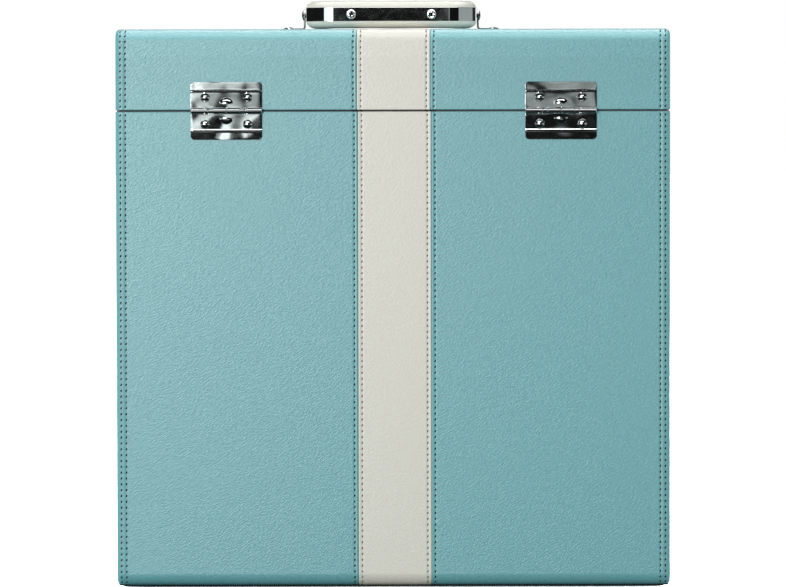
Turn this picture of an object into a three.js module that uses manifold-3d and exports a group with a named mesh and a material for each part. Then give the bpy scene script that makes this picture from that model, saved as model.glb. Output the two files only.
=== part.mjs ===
import * as THREE from "three";
import { mergeVertices } from "three/addons/utils/BufferGeometryUtils.js";
import Module from "manifold-3d";

// A carrying case for long-playing records, in millimetres.
// +X runs across the case, +Y from the hinge side to the latch side and +Z up.
// The origin is the middle of the base. Left is towards -X.

// Case box
const caseWidth = 350;
const caseDepth = 170;
const bodyHeight = 300;
const lidHeight = 51;
const rimGap = 1;
const longEdgeRadius = 8;
const sideEdgeRadius = 3;
const coverThickness = 1;
const boardThickness = 9;
const boardJointGap = 0.3;
const linerThickness = 2.5;
const lipHeight = 8;
const lipSetback = 0.6;
const lipGap = 1;

// Covering
const sideTurnover = 4.6;
const seamGap = 0.4;
const stripeWidth = 46;
const bodyStripeCentre = 1;
const lidStripeCentre = 0.4;

// Hinges
const hingeCentre = 0.5;
const hingeSpacing = 211;
const hingeWidth = 45;
const leafHeight = 18.2;
const leafThickness = 0.8;
const leafCornerRadius = 2.3;
const knuckleRadius = 2;
const knuckleBoreRadius = 1.3;
const outerKnuckleLength = 10.8;
const innerKnuckleLength = 8.3;
const collarRadius = 1.75;
const knuckleGap = 0.3;
const notchClearance = 0.5;
const hingePinRadius = 1.2;
const pinEndGap = 0.3;
const beadHeight = 0.5;
const beadWidth = 1.4;
const beadRise = 12.2;
const lugRise = 4;
const lugHalfWidth = 4.5;
const lugLength = 5.7;
const lugHeight = 3.8;

// Hinge rivets
const rivetSpacing = 26.8;
const rivetRise = 8.4;
const rivetHeadRadius = 2.9;
const rivetHeadHeight = 1.7;
const rivetShankRadius = 1.4;
const rivetHoleGap = 0.2;
const rivetDepth = 7.5;
const holeEndGap = 0.5;

// Handle
const handleCentre = -0.9;
const handleWidth = 109;
const handleReach = 50;
const handleThickness = 18;
const handleRestGap = 0.6;
const gripDepth = 20;
const gripEdgeDepth = 6.3;
const armEndSetback = 2;
const armEndFillet = 0.7;
const bailCornerRadius = 18;
const fingerCornerRadius = 6;
const handleCoverThickness = 1.2;
const bandThickness = 1.2;
const bandHeight = 8.8;
const bandScrewSpacing = 51.2;
const bandScrewHeadRadius = 3;
const bandScrewHeadHeight = 0.8;
const bandScrewShankRadius = 1.4;
const bandScrewDepth = 8;

// Handle brackets
const bracketThickness = 1.1;
const bracketWidth = 8;
const bracketClearance = 0.8;
const bracketBendRadius = 1.2;
const bracketFootLength = 14;
const bracketRivetReach = 10.6;
const bracketRivetHeadRadius = 2.8;
const bracketRivetHeadHeight = 0.7;
const pivotHeadRadius = 3.5;
const pivotHeadHeight = 1.3;
const pivotShankRadius = 1.6;
const pivotDepth = 8;
const pivotPlay = 0.1;

// Latches
const latchSpacing = 211;
const latchWidth = 40;
const latchSheet = 1;
const latchCornerRadius = 2.3;
const baseDrop = 8;
const baseHeight = 30;
const pivotDrop = 8;
const cheekRadius = 3;
const cheekSpan = 22;
const cheekThickness = 1;
const leverLift = 0.9;
const leverSideGap = 0.3;
const leverStubRadius = 1.25;
const leverStubPlay = 0.1;
const leverLength = 22;
const leverPlateDrop = 2.6;
const leverWaistReach = 12;
const leverCurlRadius = 3;
const crankRadius = 6;
const clawThickness = 1.2;
const clawWidth = 17;
const clawBossRadius = 2;
const clawRodRadius = 1.1;
const clawRodPlay = 0.1;
const stubOverhang = 0.4;
const hookGrip = 1.4;
const hookThickness = 1.5;
const shelfGap = 0.35;
const keeperRise = 3;
const keeperHeight = 16;
const shelfRise = 3;
const shelfThickness = 1.6;
const shelfWidth = 19;

// Fits and drawing
const seatGap = 0.1;
const overrun = 5;
const weldDistance = 0.0005;
const overcentreAngle = THREE.MathUtils.degToRad(-100);
const holeSides = 16;
const headSides = 14;
const headSteps = 3;
const lugSides = 16;
const tipSteps = 6;
const cornerSteps = 4;
const edgeSteps = 3;
const bailCornerSteps = 6;

// Places worked out from the sizes above
const caseHeight = bodyHeight + rimGap + lidHeight;
const lidBase = bodyHeight + rimGap;
const seamHeight = bodyHeight + rimGap / 2;
const halfWidth = caseWidth / 2;
const halfDepth = caseDepth / 2;
const boardInset = coverThickness + seatGap;
const cavityInset = boardInset + boardThickness;
const linerInset = cavityInset + seatGap;
const roomInset = linerInset + linerThickness;
const lipInset = linerInset + lipSetback;
const reach = {
  x: [-halfWidth - overrun, halfWidth + overrun],
  y: [-halfDepth - overrun, halfDepth + overrun],
  z: [-overrun, caseHeight + overrun],
};

const wasm = await Module();
wasm.setup();

// Finishes
function finish(color, roughness, metalness) {
  return new THREE.MeshStandardMaterial({ color, roughness, metalness });
}
const blueCover = finish(0x7fb9bf, 0.55, 0);
const creamCover = finish(0xd8d7cb, 0.55, 0);
const board = finish(0xc9ab7c, 0.8, 0);
const liner = finish(0x2b2c30, 0.9, 0);
const gripCore = finish(0xb08d5c, 0.7, 0);
const chrome = finish(0xd6d8d9, 0.12, 1);
const steel = finish(0xa9acae, 0.35, 1);

// Solids

// A closed geometry as a solid that can be cut and joined.
function solidOf(geometry) {
  const bare = geometry.clone();
  bare.deleteAttribute("normal");
  bare.deleteAttribute("uv");
  const merged = mergeVertices(bare, weldDistance);
  const mesh = new wasm.Mesh({
    numProp: 3,
    vertProperties: merged.attributes.position.array,
    triVerts: new Uint32Array(merged.index.array),
  });
  return new wasm.Manifold(mesh);
}

function geometryOf(solid) {
  const { vertProperties, triVerts } = solid.getMesh();
  const geometry = new THREE.BufferGeometry();
  geometry.setAttribute("position", new THREE.BufferAttribute(vertProperties, 3));
  geometry.setIndex(new THREE.BufferAttribute(triVerts, 1));
  geometry.computeVertexNormals();
  return geometry;
}

function piece(name, solid, material) {
  const mesh = new THREE.Mesh(geometryOf(solid), material);
  mesh.name = name;
  return mesh;
}

function joined(solids) {
  return solids.reduce((whole, solid) => whole.add(solid));
}

function cut(solid, tools) {
  return tools.reduce((left, tool) => left.subtract(tool), solid);
}

// Outlines are lists of points. An arc runs from one angle to another, in radians.
function arc(centre, radius, from, to, steps) {
  const points = [];
  for (let step = 0; step <= steps; step++) {
    const angle = from + ((to - from) * step) / steps;
    const across = centre[0] + radius * Math.cos(angle);
    const up = centre[1] + radius * Math.sin(angle);
    points.push([across, up]);
  }
  return points;
}

function circle(centre, radius, sides) {
  return arc(centre, radius, 0, 2 * Math.PI, sides).slice(0, sides);
}

function rectangle(low, high) {
  return [low, [high[0], low[1]], high, [low[0], high[1]]];
}

function roundedRectangle(low, high, radius) {
  if (radius <= 0) {
    return rectangle(low, high);
  }
  const quarter = Math.PI / 2;
  const near = [low[0] + radius, low[1] + radius];
  const far = [high[0] - radius, high[1] - radius];
  return [
    ...arc([far[0], near[1]], radius, -quarter, 0, cornerSteps),
    ...arc(far, radius, 0, quarter, cornerSteps),
    ...arc([near[0], far[1]], radius, quarter, 2 * quarter, cornerSteps),
    ...arc(near, radius, 2 * quarter, 3 * quarter, cornerSteps),
  ];
}

const squareEdge = { along: 0, across: 0 };

// A prism from zero to a height, its two end edges square or rounded.
function prism(outline, height, edge = squareEdge) {
  const shape = new THREE.Shape(outline.map(([x, y]) => new THREE.Vector2(x, y)));
  const geometry = new THREE.ExtrudeGeometry(shape, {
    depth: height - 2 * edge.along,
    bevelEnabled: edge.along > 0,
    bevelThickness: edge.along,
    bevelSize: edge.across,
    bevelOffset: -edge.across,
    bevelSegments: edgeSteps,
  });
  return geometry.translate(0, 0, edge.along);
}

// The outline is drawn in y and z.
function alongX(outline, low, high, edge) {
  const turn = new THREE.Matrix4().makeBasis(
    new THREE.Vector3(0, 1, 0),
    new THREE.Vector3(0, 0, 1),
    new THREE.Vector3(1, 0, 0),
  );
  return solidOf(prism(outline, high - low, edge).applyMatrix4(turn).translate(low, 0, 0));
}

// The same prism on the left and on the right.
function onBothSides(outline, [low, high]) {
  return [alongX(outline, low, high), alongX(outline, -high, -low)];
}

// The outline is drawn in x and z.
function alongY(outline, low, high) {
  return solidOf(prism(outline, high - low).rotateX(Math.PI / 2).translate(0, high, 0));
}

// The outline is drawn in x and y.
function alongZ(outline, low, high, edge) {
  return solidOf(prism(outline, high - low, edge).translate(0, 0, low));
}

// A block inside the given limits. A direction that has none runs past the whole case.
function block(limits) {
  const { x, y, z } = { ...reach, ...limits };
  const box = new THREE.BoxGeometry(x[1] - x[0], y[1] - y[0], z[1] - z[0]);
  return solidOf(box.translate((x[0] + x[1]) / 2, (y[0] + y[1]) / 2, (z[0] + z[1]) / 2));
}

// A domed head on a shank, its seat at y = 0 and its head towards +Y.
function domedFastener(headRadius, headHeight, shankRadius, depth) {
  const capRadius = (headRadius ** 2 + headHeight ** 2) / (2 * headHeight);
  const sweep = Math.asin(headRadius / capRadius);
  const centre = [0, headHeight - capRadius];
  const dome = arc(centre, capRadius, Math.PI / 2 - sweep, Math.PI / 2, headSteps);
  const shank = [[0, -depth], [shankRadius, -depth], [shankRadius, 0]];
  const profile = [...shank, ...dome.slice(0, headSteps), [0, headHeight]];
  const points = profile.map(([x, y]) => new THREE.Vector2(x, y));
  return solidOf(new THREE.LatheGeometry(points, headSides));
}

// Case box

// The whole closed case, set in by a distance on every side.
function caseBlock(inset) {
  const low = [-halfDepth + inset, inset];
  const high = [halfDepth - inset, caseHeight - inset];
  const rounding = Math.max(sideEdgeRadius - inset, 0);
  const edge = { along: rounding, across: rounding };
  const outline = roundedRectangle(low, high, longEdgeRadius - inset);
  return alongX(outline, -halfWidth + inset, halfWidth - inset, edge);
}

// The space inside the walls at a given inset, between two heights.
function wellBlock(inset, z) {
  const x = [-halfWidth + inset, halfWidth - inset];
  const y = [-halfDepth + inset, halfDepth - inset];
  return block({ x, y, z });
}

const halves = [
  {
    name: "body",
    z: [reach.z[0], bodyHeight],
    coverHollow: [reach.z[0], bodyHeight - coverThickness],
    boards: [reach.z[0], bodyHeight - boardInset],
    cap: { name: "bottom", z: [reach.z[0], cavityInset] },
    stripeCentre: bodyStripeCentre,
  },
  {
    name: "lid",
    z: [lidBase, reach.z[1]],
    coverHollow: [lidBase + coverThickness, reach.z[1]],
    boards: [lidBase + boardInset, reach.z[1]],
    cap: { name: "top", z: [caseHeight - cavityInset, reach.z[1]] },
    stripeCentre: lidStripeCentre,
  },
];

// The covering is cut across the case into the side covers, the wraps and the stripe.
function coverBands(stripeCentre) {
  const side = halfWidth - sideTurnover;
  const stripeLow = stripeCentre - stripeWidth / 2;
  const stripeHigh = stripeCentre + stripeWidth / 2;
  const half = seamGap / 2;
  return [
    ["left_side_cover", [reach.x[0], -side - half], blueCover],
    ["left_wrap", [-side + half, stripeLow - half], blueCover],
    ["stripe", [stripeLow + half, stripeHigh - half], creamCover],
    ["right_wrap", [stripeHigh + half, side - half], blueCover],
    ["right_side_cover", [side + half, reach.x[1]], blueCover],
  ];
}

function covers(half, holes) {
  const hollow = caseBlock(coverThickness).intersect(block({ z: half.coverHollow }));
  const mouth = wellBlock(cavityInset, [cavityInset, caseHeight - cavityInset]);
  const shell = cut(caseBlock(0).intersect(block({ z: half.z })), [hollow, mouth, ...holes]);
  return coverBands(half.stripeCentre).map(([name, x, material]) =>
    piece(half.name + "_" + name, shell.intersect(block({ x })), material),
  );
}

function boards(half, holes) {
  const wood = cut(caseBlock(boardInset).intersect(block({ z: half.boards })), holes);
  const wallX = halfWidth - cavityInset;
  const wallY = halfDepth - cavityInset;
  const betweenX = [-wallX + boardJointGap, wallX - boardJointGap];
  const betweenY = [-wallY + boardJointGap, wallY - boardJointGap];
  const places = {
    left: { x: [reach.x[0], -wallX] },
    right: { x: [wallX, reach.x[1]] },
    back: { x: betweenX, y: [reach.y[0], -wallY] },
    front: { x: betweenX, y: [wallY, reach.y[1]] },
    [half.cap.name]: { x: betweenX, y: betweenY, z: half.cap.z },
  };
  return Object.entries(places).map(([name, limits]) =>
    piece(half.name + "_" + name + "_board", wood.intersect(block(limits)), board),
  );
}

// The body's lining stands up past the rim as a lip that guides the lid.
function bodyLiners() {
  const floorTop = linerInset + linerThickness;
  const wallZ = [floorTop + seatGap, bodyHeight + lipHeight];
  const below = wellBlock(linerInset, [wallZ[0], bodyHeight]);
  const lip = wellBlock(lipInset, wallZ);
  const lining = below.add(lip);
  const wallX = halfWidth - roomInset;
  const wallY = halfDepth - roomInset;
  const betweenY = [-wallY + boardJointGap, wallY - boardJointGap];
  const places = {
    back: { y: [reach.y[0], -wallY] },
    front: { y: [wallY, reach.y[1]] },
    left: { x: [reach.x[0], -wallX], y: betweenY },
    right: { x: [wallX, reach.x[1]], y: betweenY },
  };
  const walls = Object.entries(places).map(([name, limits]) =>
    piece("body_" + name + "_liner", lining.intersect(block(limits)), liner),
  );
  const floor = wellBlock(linerInset, [linerInset, floorTop]);
  return [...walls, piece("body_floor_liner", floor, liner)];
}

function lidLiner() {
  const outside = wellBlock(linerInset, [
    bodyHeight + lipHeight + lipGap,
    caseHeight - linerInset,
  ]);
  const inside = wellBlock(roomInset, [bodyHeight, caseHeight - roomInset]);
  return piece("lid_liner", outside.subtract(inside), liner);
}

// Hinges

const sides = [
  { name: "left", sign: -1 },
  { name: "right", sign: 1 },
];
const leafSeat = -seatGap;
const leafFace = leafSeat - leafThickness;
const knuckleOut = leafSeat - knuckleRadius;
const notchHeight = knuckleRadius + notchClearance;
const innerKnuckle = [knuckleGap, knuckleGap + innerKnuckleLength];
const outerKnuckle = [-hingeWidth / 2, -hingeWidth / 2 + outerKnuckleLength];
const collar = [innerKnuckle[1], -outerKnuckle[1] - knuckleGap];

// A raised stop: half a pressed dome, hollow behind, cut open towards the knuckle.
function stopLug() {
  const dome = (x, y, z) => new THREE.SphereGeometry(1, lugSides, lugSides / 2).scale(x, y, z);
  const outside = solidOf(
    dome(lugHalfWidth, lugHeight, lugLength).translate(0, leafFace, lugRise),
  );
  const inside = solidOf(
    dome(
      lugHalfWidth - leafThickness,
      lugHeight,
      lugLength - leafThickness,
    ).translate(0, leafSeat, lugRise),
  );
  const z = [lugRise, lugRise + lugLength];
  const metal = outside.intersect(block({ y: [leafFace - lugHeight - overrun, leafSeat], z }));
  return { metal, hollow: inside.intersect(block({ z })) };
}

// One leaf, its knuckle axis along x at z = 0. The case's face is the plane y = 0.
function hingeLeaf() {
  const radius = leafCornerRadius;
  const half = hingeWidth / 2;
  const corners = [
    ...arc([half - radius, leafHeight - radius], radius, 0, Math.PI / 2, cornerSteps),
    ...arc([radius - half, leafHeight - radius], radius, Math.PI / 2, Math.PI, cornerSteps),
  ];
  const outline = [[-half, notchHeight], [half, notchHeight], ...corners];
  const plate = alongY(outline, leafFace, leafSeat);
  const ring = circle([knuckleOut, 0], knuckleRadius, holeSides);
  const collarRing = circle([knuckleOut, 0], collarRadius, holeSides);
  const tongueTop = notchHeight + leafThickness;
  const tongue = (x) => block({ x, y: [leafFace, leafSeat], z: [0, tongueTop] });
  const beadOutline = [
    [leafFace + leafThickness / 2, beadRise - beadWidth / 2],
    [leafFace, beadRise - beadWidth / 2],
    [leafFace - beadHeight, beadRise - beadWidth / 4],
    [leafFace - beadHeight, beadRise + beadWidth / 4],
    [leafFace, beadRise + beadWidth / 2],
    [leafFace + leafThickness / 2, beadRise + beadWidth / 2],
  ];
  const lug = stopLug();
  const metal = joined([
    plate,
    tongue(outerKnuckle),
    tongue([innerKnuckle[0], collar[1]]),
    alongX(ring, ...outerKnuckle),
    alongX(ring, ...innerKnuckle),
    alongX(collarRing, innerKnuckle[1] - leafThickness, collar[1]),
    alongX(beadOutline, -half, half),
    lug.metal,
  ]);
  const bore = alongX(circle([knuckleOut, 0], knuckleBoreRadius, holeSides), ...reach.x);
  const holeRadius = rivetShankRadius + rivetHoleGap;
  const rivetHoles = sides.map(({ sign }) =>
    alongY(circle([(sign * rivetSpacing) / 2, rivetRise], holeRadius, holeSides), -overrun, overrun),
  );
  return cut(metal, [bore, lug.hollow, ...rivetHoles]);
}

function hinge(side) {
  const group = new THREE.Group();
  group.position.set(hingeCentre + (side.sign * hingeSpacing) / 2, -halfDepth, seamHeight);
  const leaf = hingeLeaf();
  const rivet = domedFastener(
    rivetHeadRadius,
    rivetHeadHeight,
    rivetShankRadius,
    rivetDepth - leafFace + seatGap,
  );
  const leaves = [
    { name: side.name + "_hinge_lid", turn: 0, across: 1 },
    { name: side.name + "_hinge_body", turn: Math.PI, across: -1 },
  ];
  for (const { name, turn, across } of leaves) {
    const turned = new THREE.Group();
    turned.rotation.y = turn;
    turned.add(piece(name + "_leaf", leaf, chrome));
    for (const end of sides) {
      const mesh = piece(name + "_rivet_" + end.name, rivet, chrome);
      const x = (across * end.sign * rivetSpacing) / 2;
      mesh.position.set(x, leafFace - seatGap, rivetRise);
      mesh.rotation.x = Math.PI;
      turned.add(mesh);
    }
    group.add(turned);
  }
  const half = hingeWidth / 2 - pinEndGap;
  const pin = alongX(circle([knuckleOut, 0], hingePinRadius, holeSides), -half, half);
  group.add(piece(side.name + "_hinge_pin", pin, steel));
  return group;
}

// Holes for the hinge rivets, in the covering and the boards.
function hingeHoles() {
  const radius = rivetShankRadius + rivetHoleGap;
  const holes = [];
  for (const { sign } of sides) {
    for (const across of [-rivetSpacing / 2, rivetSpacing / 2]) {
      for (const up of [-rivetRise, rivetRise]) {
        const x = hingeCentre + (sign * hingeSpacing) / 2 + across;
        const outline = circle([x, seamHeight + up], radius, holeSides);
        const end = -halfDepth + rivetDepth + holeEndGap;
        holes.push(alongY(outline, -halfDepth - overrun, end));
      }
    }
  }
  return holes;
}

// Handle, drawn about the middle of its pivot axis, lying towards the hinge side.

const pivotHeight = caseHeight + handleRestGap + handleThickness / 2;
const armEnd = handleThickness / 2 - armEndSetback;
const armEndRadius = gripEdgeDepth + armEndFillet;

// The bail's plan, set in by a distance all round.
function bailOutline(inset) {
  const quarter = Math.PI / 2;
  const outer = handleWidth / 2 - inset;
  const inner = handleWidth / 2 - gripDepth + inset;
  const end = armEnd - inset;
  const front = -handleReach + inset;
  const back = -handleReach + gripDepth - inset;
  const bend = bailCornerRadius - inset;
  const finger = fingerCornerRadius + inset;
  const tip = armEndRadius - inset;
  const right = [
    ...arc([outer - bend, front + bend], bend, -quarter, 0, bailCornerSteps),
    ...arc([outer - tip, end - tip], tip, 0, quarter, edgeSteps),
    ...arc([inner + tip, end - tip], tip, quarter, 2 * quarter, edgeSteps),
    ...arc([inner - finger, back + finger], finger, 0, -quarter, edgeSteps),
  ];
  const left = right.map(([x, y]) => [-x, y]).reverse();
  return [...right, ...left];
}

function bail(inset) {
  const edge = {
    along: (handleThickness - bandHeight) / 2 - inset,
    across: gripEdgeDepth - inset,
  };
  const half = handleThickness / 2 - inset;
  return alongZ(bailOutline(inset), -half, half, edge);
}

// A strap round the bail's outer side, between two insets, with round ends at the pivots.
function strap(outerInset, innerInset, halfHeight) {
  const line = (inset) => {
    const outer = handleWidth / 2 - inset;
    const front = -handleReach + inset;
    const bend = bailCornerRadius - inset;
    const corner = arc([outer - bend, front + bend], bend, -Math.PI / 2, 0, bailCornerSteps);
    const right = [...corner, [outer, halfHeight]];
    const left = right.map(([x, y]) => [-x, y]).reverse();
    return [...left, ...right];
  };
  const ring = [...line(outerInset), ...line(innerInset).reverse()];
  const slot = [
    [-handleReach - overrun, -halfHeight],
    ...arc([0, 0], halfHeight, -Math.PI / 2, Math.PI / 2, tipSteps),
    [-handleReach - overrun, halfHeight],
  ];
  return alongZ(ring, -halfHeight, halfHeight).intersect(alongX(slot, ...reach.x));
}

function handleGrip() {
  const pivotHole = circle([0, 0], pivotShankRadius + pivotPlay, holeSides);
  const armHoles = onBothSides(pivotHole, [
    handleWidth / 2 - pivotDepth - holeEndGap,
    reach.x[1],
  ]);
  const screwRadius = bandScrewShankRadius + rivetHoleGap;
  const screwHoles = sides.map(({ sign }) =>
    alongY(
      circle([(sign * bandScrewSpacing) / 2, 0], screwRadius, holeSides),
      -handleReach - overrun,
      -handleReach + bandScrewDepth + holeEndGap,
    ),
  );
  const holes = [...armHoles, ...screwHoles];
  const core = bail(handleCoverThickness + seatGap);
  const channel = strap(-overrun, 2 * handleCoverThickness, bandHeight / 2 + seatGap);
  const cover = cut(bail(0), [bail(handleCoverThickness), channel]);
  const band = strap(0, bandThickness, bandHeight / 2);
  return [
    piece("handle_core", cut(core, holes), gripCore),
    piece("handle_cover", cover, creamCover),
    piece("handle_band", cut(band, holes), chrome),
  ];
}

function bandScrews() {
  const screw = domedFastener(
    bandScrewHeadRadius,
    bandScrewHeadHeight,
    bandScrewShankRadius,
    bandScrewDepth + seatGap,
  );
  return sides.map((side) => {
    const mesh = piece("handle_band_screw_" + side.name, screw, chrome);
    mesh.position.set((side.sign * bandScrewSpacing) / 2, -handleReach - seatGap, 0);
    mesh.rotation.x = Math.PI;
    return mesh;
  });
}

// A bent strip: an upright with a round top at the pivot, and a foot that points outwards.
function bracket() {
  const inner = handleWidth / 2 + bracketClearance;
  const outer = inner + bracketThickness;
  const foot = caseHeight + seatGap - pivotHeight;
  const top = bracketWidth / 2;
  const bend = bracketBendRadius;
  const full = bracketBendRadius + bracketThickness;
  const quarter = Math.PI / 2;
  const profile = [
    [inner, top],
    ...arc([inner + full, foot + full], full, 2 * quarter, 3 * quarter, cornerSteps),
    [inner + bracketFootLength, foot],
    [inner + bracketFootLength, foot + bracketThickness],
    ...arc([inner + full, foot + full], bend, 3 * quarter, 2 * quarter, cornerSteps),
    [outer, top],
  ];
  const strip = alongY(profile, -bracketWidth / 2, bracketWidth / 2);
  const uprightOutline = [
    [-top, foot - overrun],
    [top, foot - overrun],
    ...arc([0, 0], top, 0, Math.PI, tipSteps),
  ];
  const footEnd = inner + bracketFootLength - top;
  const footOutline = [
    [inner - overrun, -top],
    ...arc([footEnd, 0], top, -quarter, quarter, tipSteps),
    [inner - overrun, top],
  ];
  const rivetX = inner + bracketRivetReach;
  const shaped = strip
    .intersect(alongX(uprightOutline, ...reach.x))
    .intersect(alongZ(footOutline, foot - overrun, top + overrun));
  return cut(shaped, [
    alongX(circle([0, 0], pivotShankRadius + pivotPlay, holeSides), ...reach.x),
    alongZ(
      circle([rivetX, 0], rivetShankRadius + rivetHoleGap, holeSides),
      foot - overrun,
      foot + overrun,
    ),
  ]);
}

function bracketPieces(side) {
  const group = new THREE.Group();
  group.rotation.z = side.sign > 0 ? 0 : Math.PI;
  const inner = handleWidth / 2 + bracketClearance;
  const outer = inner + bracketThickness;
  const foot = caseHeight + seatGap - pivotHeight;
  group.add(piece("handle_" + side.name + "_bracket", bracket(), chrome));
  const pivot = domedFastener(
    pivotHeadRadius,
    pivotHeadHeight,
    pivotShankRadius,
    pivotDepth + bracketClearance + bracketThickness,
  );
  const pivotMesh = piece("handle_" + side.name + "_pivot_screw", pivot, chrome);
  pivotMesh.position.set(outer + seatGap, 0, 0);
  pivotMesh.rotation.z = -Math.PI / 2;
  const rivet = domedFastener(
    bracketRivetHeadRadius,
    bracketRivetHeadHeight,
    rivetShankRadius,
    rivetDepth + bracketThickness,
  );
  const rivetMesh = piece("handle_" + side.name + "_bracket_rivet", rivet, chrome);
  rivetMesh.position.set(inner + bracketRivetReach, 0, foot + bracketThickness + seatGap);
  rivetMesh.rotation.x = Math.PI / 2;
  group.add(pivotMesh, rivetMesh);
  return group;
}

function handle() {
  const group = new THREE.Group();
  group.position.set(handleCentre, 0, pivotHeight);
  group.add(...handleGrip(), ...bandScrews(), ...sides.map(bracketPieces));
  return group;
}

// Holes for the bracket rivets, in the lid's covering and its top board.
function bracketHoles() {
  const across = handleWidth / 2 + bracketClearance + bracketRivetReach;
  const radius = rivetShankRadius + rivetHoleGap;
  return sides.map(({ sign }) => {
    const outline = circle([handleCentre + sign * across, 0], radius, holeSides);
    return alongZ(outline, caseHeight - rivetDepth - holeEndGap, caseHeight + overrun);
  });
}

// Latches, drawn from the seam: y is out from the case's front and z is up.

const latchFace = seatGap + latchSheet;
const leverPivot = [latchFace + leverLift + cheekRadius, -baseDrop - pivotDrop];
const clawPivot = [
  leverPivot[0] + crankRadius * Math.cos(overcentreAngle),
  leverPivot[1] + crankRadius * Math.sin(overcentreAngle),
];
const clawBack = clawPivot[0] - clawThickness / 2;
const clawFront = clawPivot[0] + clawThickness / 2;
const shelfEdge = clawBack - shelfGap;
const shelfTop = keeperRise + shelfRise + shelfThickness;
const hookUnderside = shelfTop + shelfGap;
const leverSide = [
  cheekSpan / 2 + leverSideGap,
  cheekSpan / 2 + leverSideGap + latchSheet,
];

function latchPlate(low, high) {
  const outline = roundedRectangle(
    [-latchWidth / 2, low],
    [latchWidth / 2, high],
    latchCornerRadius,
  );
  return alongY(outline, seatGap, latchFace);
}

function latchBase() {
  const root = seatGap + latchSheet / 2;
  const cheek = [
    [root, leverPivot[1] - cheekRadius],
    ...arc(leverPivot, cheekRadius, -Math.PI / 2, Math.PI / 2, tipSteps),
    [root, leverPivot[1] + cheekRadius],
  ];
  const stub = circle(leverPivot, leverStubRadius, holeSides);
  return joined([
    latchPlate(-baseDrop - baseHeight, -baseDrop),
    ...onBothSides(cheek, [cheekSpan / 2 - cheekThickness, cheekSpan / 2]),
    ...onBothSides(stub, [cheekSpan / 2 - cheekThickness / 2, leverSide[1] + stubOverhang]),
  ]);
}

function latchLever() {
  const quarter = Math.PI / 2;
  const back = leverPivot[0] - cheekRadius;
  const face = leverPivot[0] + cheekRadius;
  const end = leverPivot[1] - leverLength;
  const curl = [face + leverCurlRadius, end];
  const full = leverCurlRadius + latchSheet;
  const plateTop = clawPivot[1] - leverPlateDrop;
  const flange = [
    ...arc(leverPivot, cheekRadius, 0, 2 * quarter, tipSteps),
    [back, leverPivot[1] - leverWaistReach],
    [face - latchSheet, end],
    [face - latchSheet / 2, end],
    [face - latchSheet / 2, plateTop],
    [face, plateTop],
  ];
  const plate = [
    [face - latchSheet, plateTop],
    ...arc(curl, full, 2 * quarter, 3 * quarter, cornerSteps),
    ...arc(curl, leverCurlRadius, 3 * quarter, 2 * quarter, cornerSteps),
    [face, plateTop],
  ];
  const metal = joined([
    alongX(plate, -leverSide[1], leverSide[1]),
    ...onBothSides(flange, leverSide),
  ]);
  const pivotHole = circle(leverPivot, leverStubRadius + leverStubPlay, holeSides);
  const rodHole = circle(clawPivot, clawRodRadius + clawRodPlay, holeSides);
  return cut(metal, [alongX(pivotHole, ...reach.x), alongX(rodHole, ...reach.x)]);
}

function latchClaw() {
  const hookTip = shelfEdge - hookGrip;
  const hookTop = hookUnderside + hookThickness;
  const strip = [
    [clawBack, clawPivot[1]],
    [clawFront, clawPivot[1]],
    [clawFront, hookTop],
    [hookTip, hookTop],
    [hookTip, hookUnderside],
    [clawBack, hookUnderside],
  ];
  const rodEnd = leverSide[1] + stubOverhang;
  return joined([
    alongX(strip, -clawWidth / 2, clawWidth / 2),
    alongX(circle(clawPivot, clawBossRadius, holeSides), -clawWidth / 2, clawWidth / 2),
    alongX(circle(clawPivot, clawRodRadius, holeSides), -rodEnd, rodEnd),
  ]);
}

function latchKeeper() {
  const shelf = rectangle(
    [seatGap + latchSheet / 2, shelfTop - shelfThickness],
    [shelfEdge, shelfTop],
  );
  return joined([
    latchPlate(keeperRise, keeperRise + keeperHeight),
    alongX(shelf, -shelfWidth / 2, shelfWidth / 2),
  ]);
}

function latch(side) {
  const group = new THREE.Group();
  group.position.set((side.sign * latchSpacing) / 2, halfDepth, seamHeight);
  const parts = {
    base: latchBase(),
    lever: latchLever(),
    claw: latchClaw(),
    keeper: latchKeeper(),
  };
  for (const [name, solid] of Object.entries(parts)) {
    group.add(piece(side.name + "_latch_" + name, solid, chrome));
  }
  return group;
}

// The whole case

const recordCase = new THREE.Group();
const holes = [...hingeHoles(), ...bracketHoles()];
for (const half of halves) {
  recordCase.add(...covers(half, holes), ...boards(half, holes));
}
recordCase.add(...bodyLiners(), lidLiner());
recordCase.add(...sides.map(hinge), handle(), ...sides.map(latch));

export default recordCase;
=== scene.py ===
import math

import bmesh
import bpy
from mathutils import Matrix, Vector, noise


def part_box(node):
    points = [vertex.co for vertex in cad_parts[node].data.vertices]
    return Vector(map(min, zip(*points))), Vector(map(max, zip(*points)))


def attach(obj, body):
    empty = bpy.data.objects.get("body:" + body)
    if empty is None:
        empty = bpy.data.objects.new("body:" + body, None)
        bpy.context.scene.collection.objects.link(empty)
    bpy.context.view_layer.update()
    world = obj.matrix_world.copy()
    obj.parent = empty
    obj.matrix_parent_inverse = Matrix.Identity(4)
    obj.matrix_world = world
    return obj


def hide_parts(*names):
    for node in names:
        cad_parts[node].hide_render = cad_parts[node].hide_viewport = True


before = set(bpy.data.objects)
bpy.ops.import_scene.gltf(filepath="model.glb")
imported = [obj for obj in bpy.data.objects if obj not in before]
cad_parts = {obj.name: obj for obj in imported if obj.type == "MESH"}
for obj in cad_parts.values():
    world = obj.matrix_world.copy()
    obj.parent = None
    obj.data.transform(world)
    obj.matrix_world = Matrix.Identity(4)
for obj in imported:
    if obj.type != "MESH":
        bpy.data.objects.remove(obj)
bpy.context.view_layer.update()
mm = 0.001
print("frame loaded")

# +X runs across the case, -Y is the hinge side that the camera sees, +Z is up. Lengths are in metres.


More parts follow.
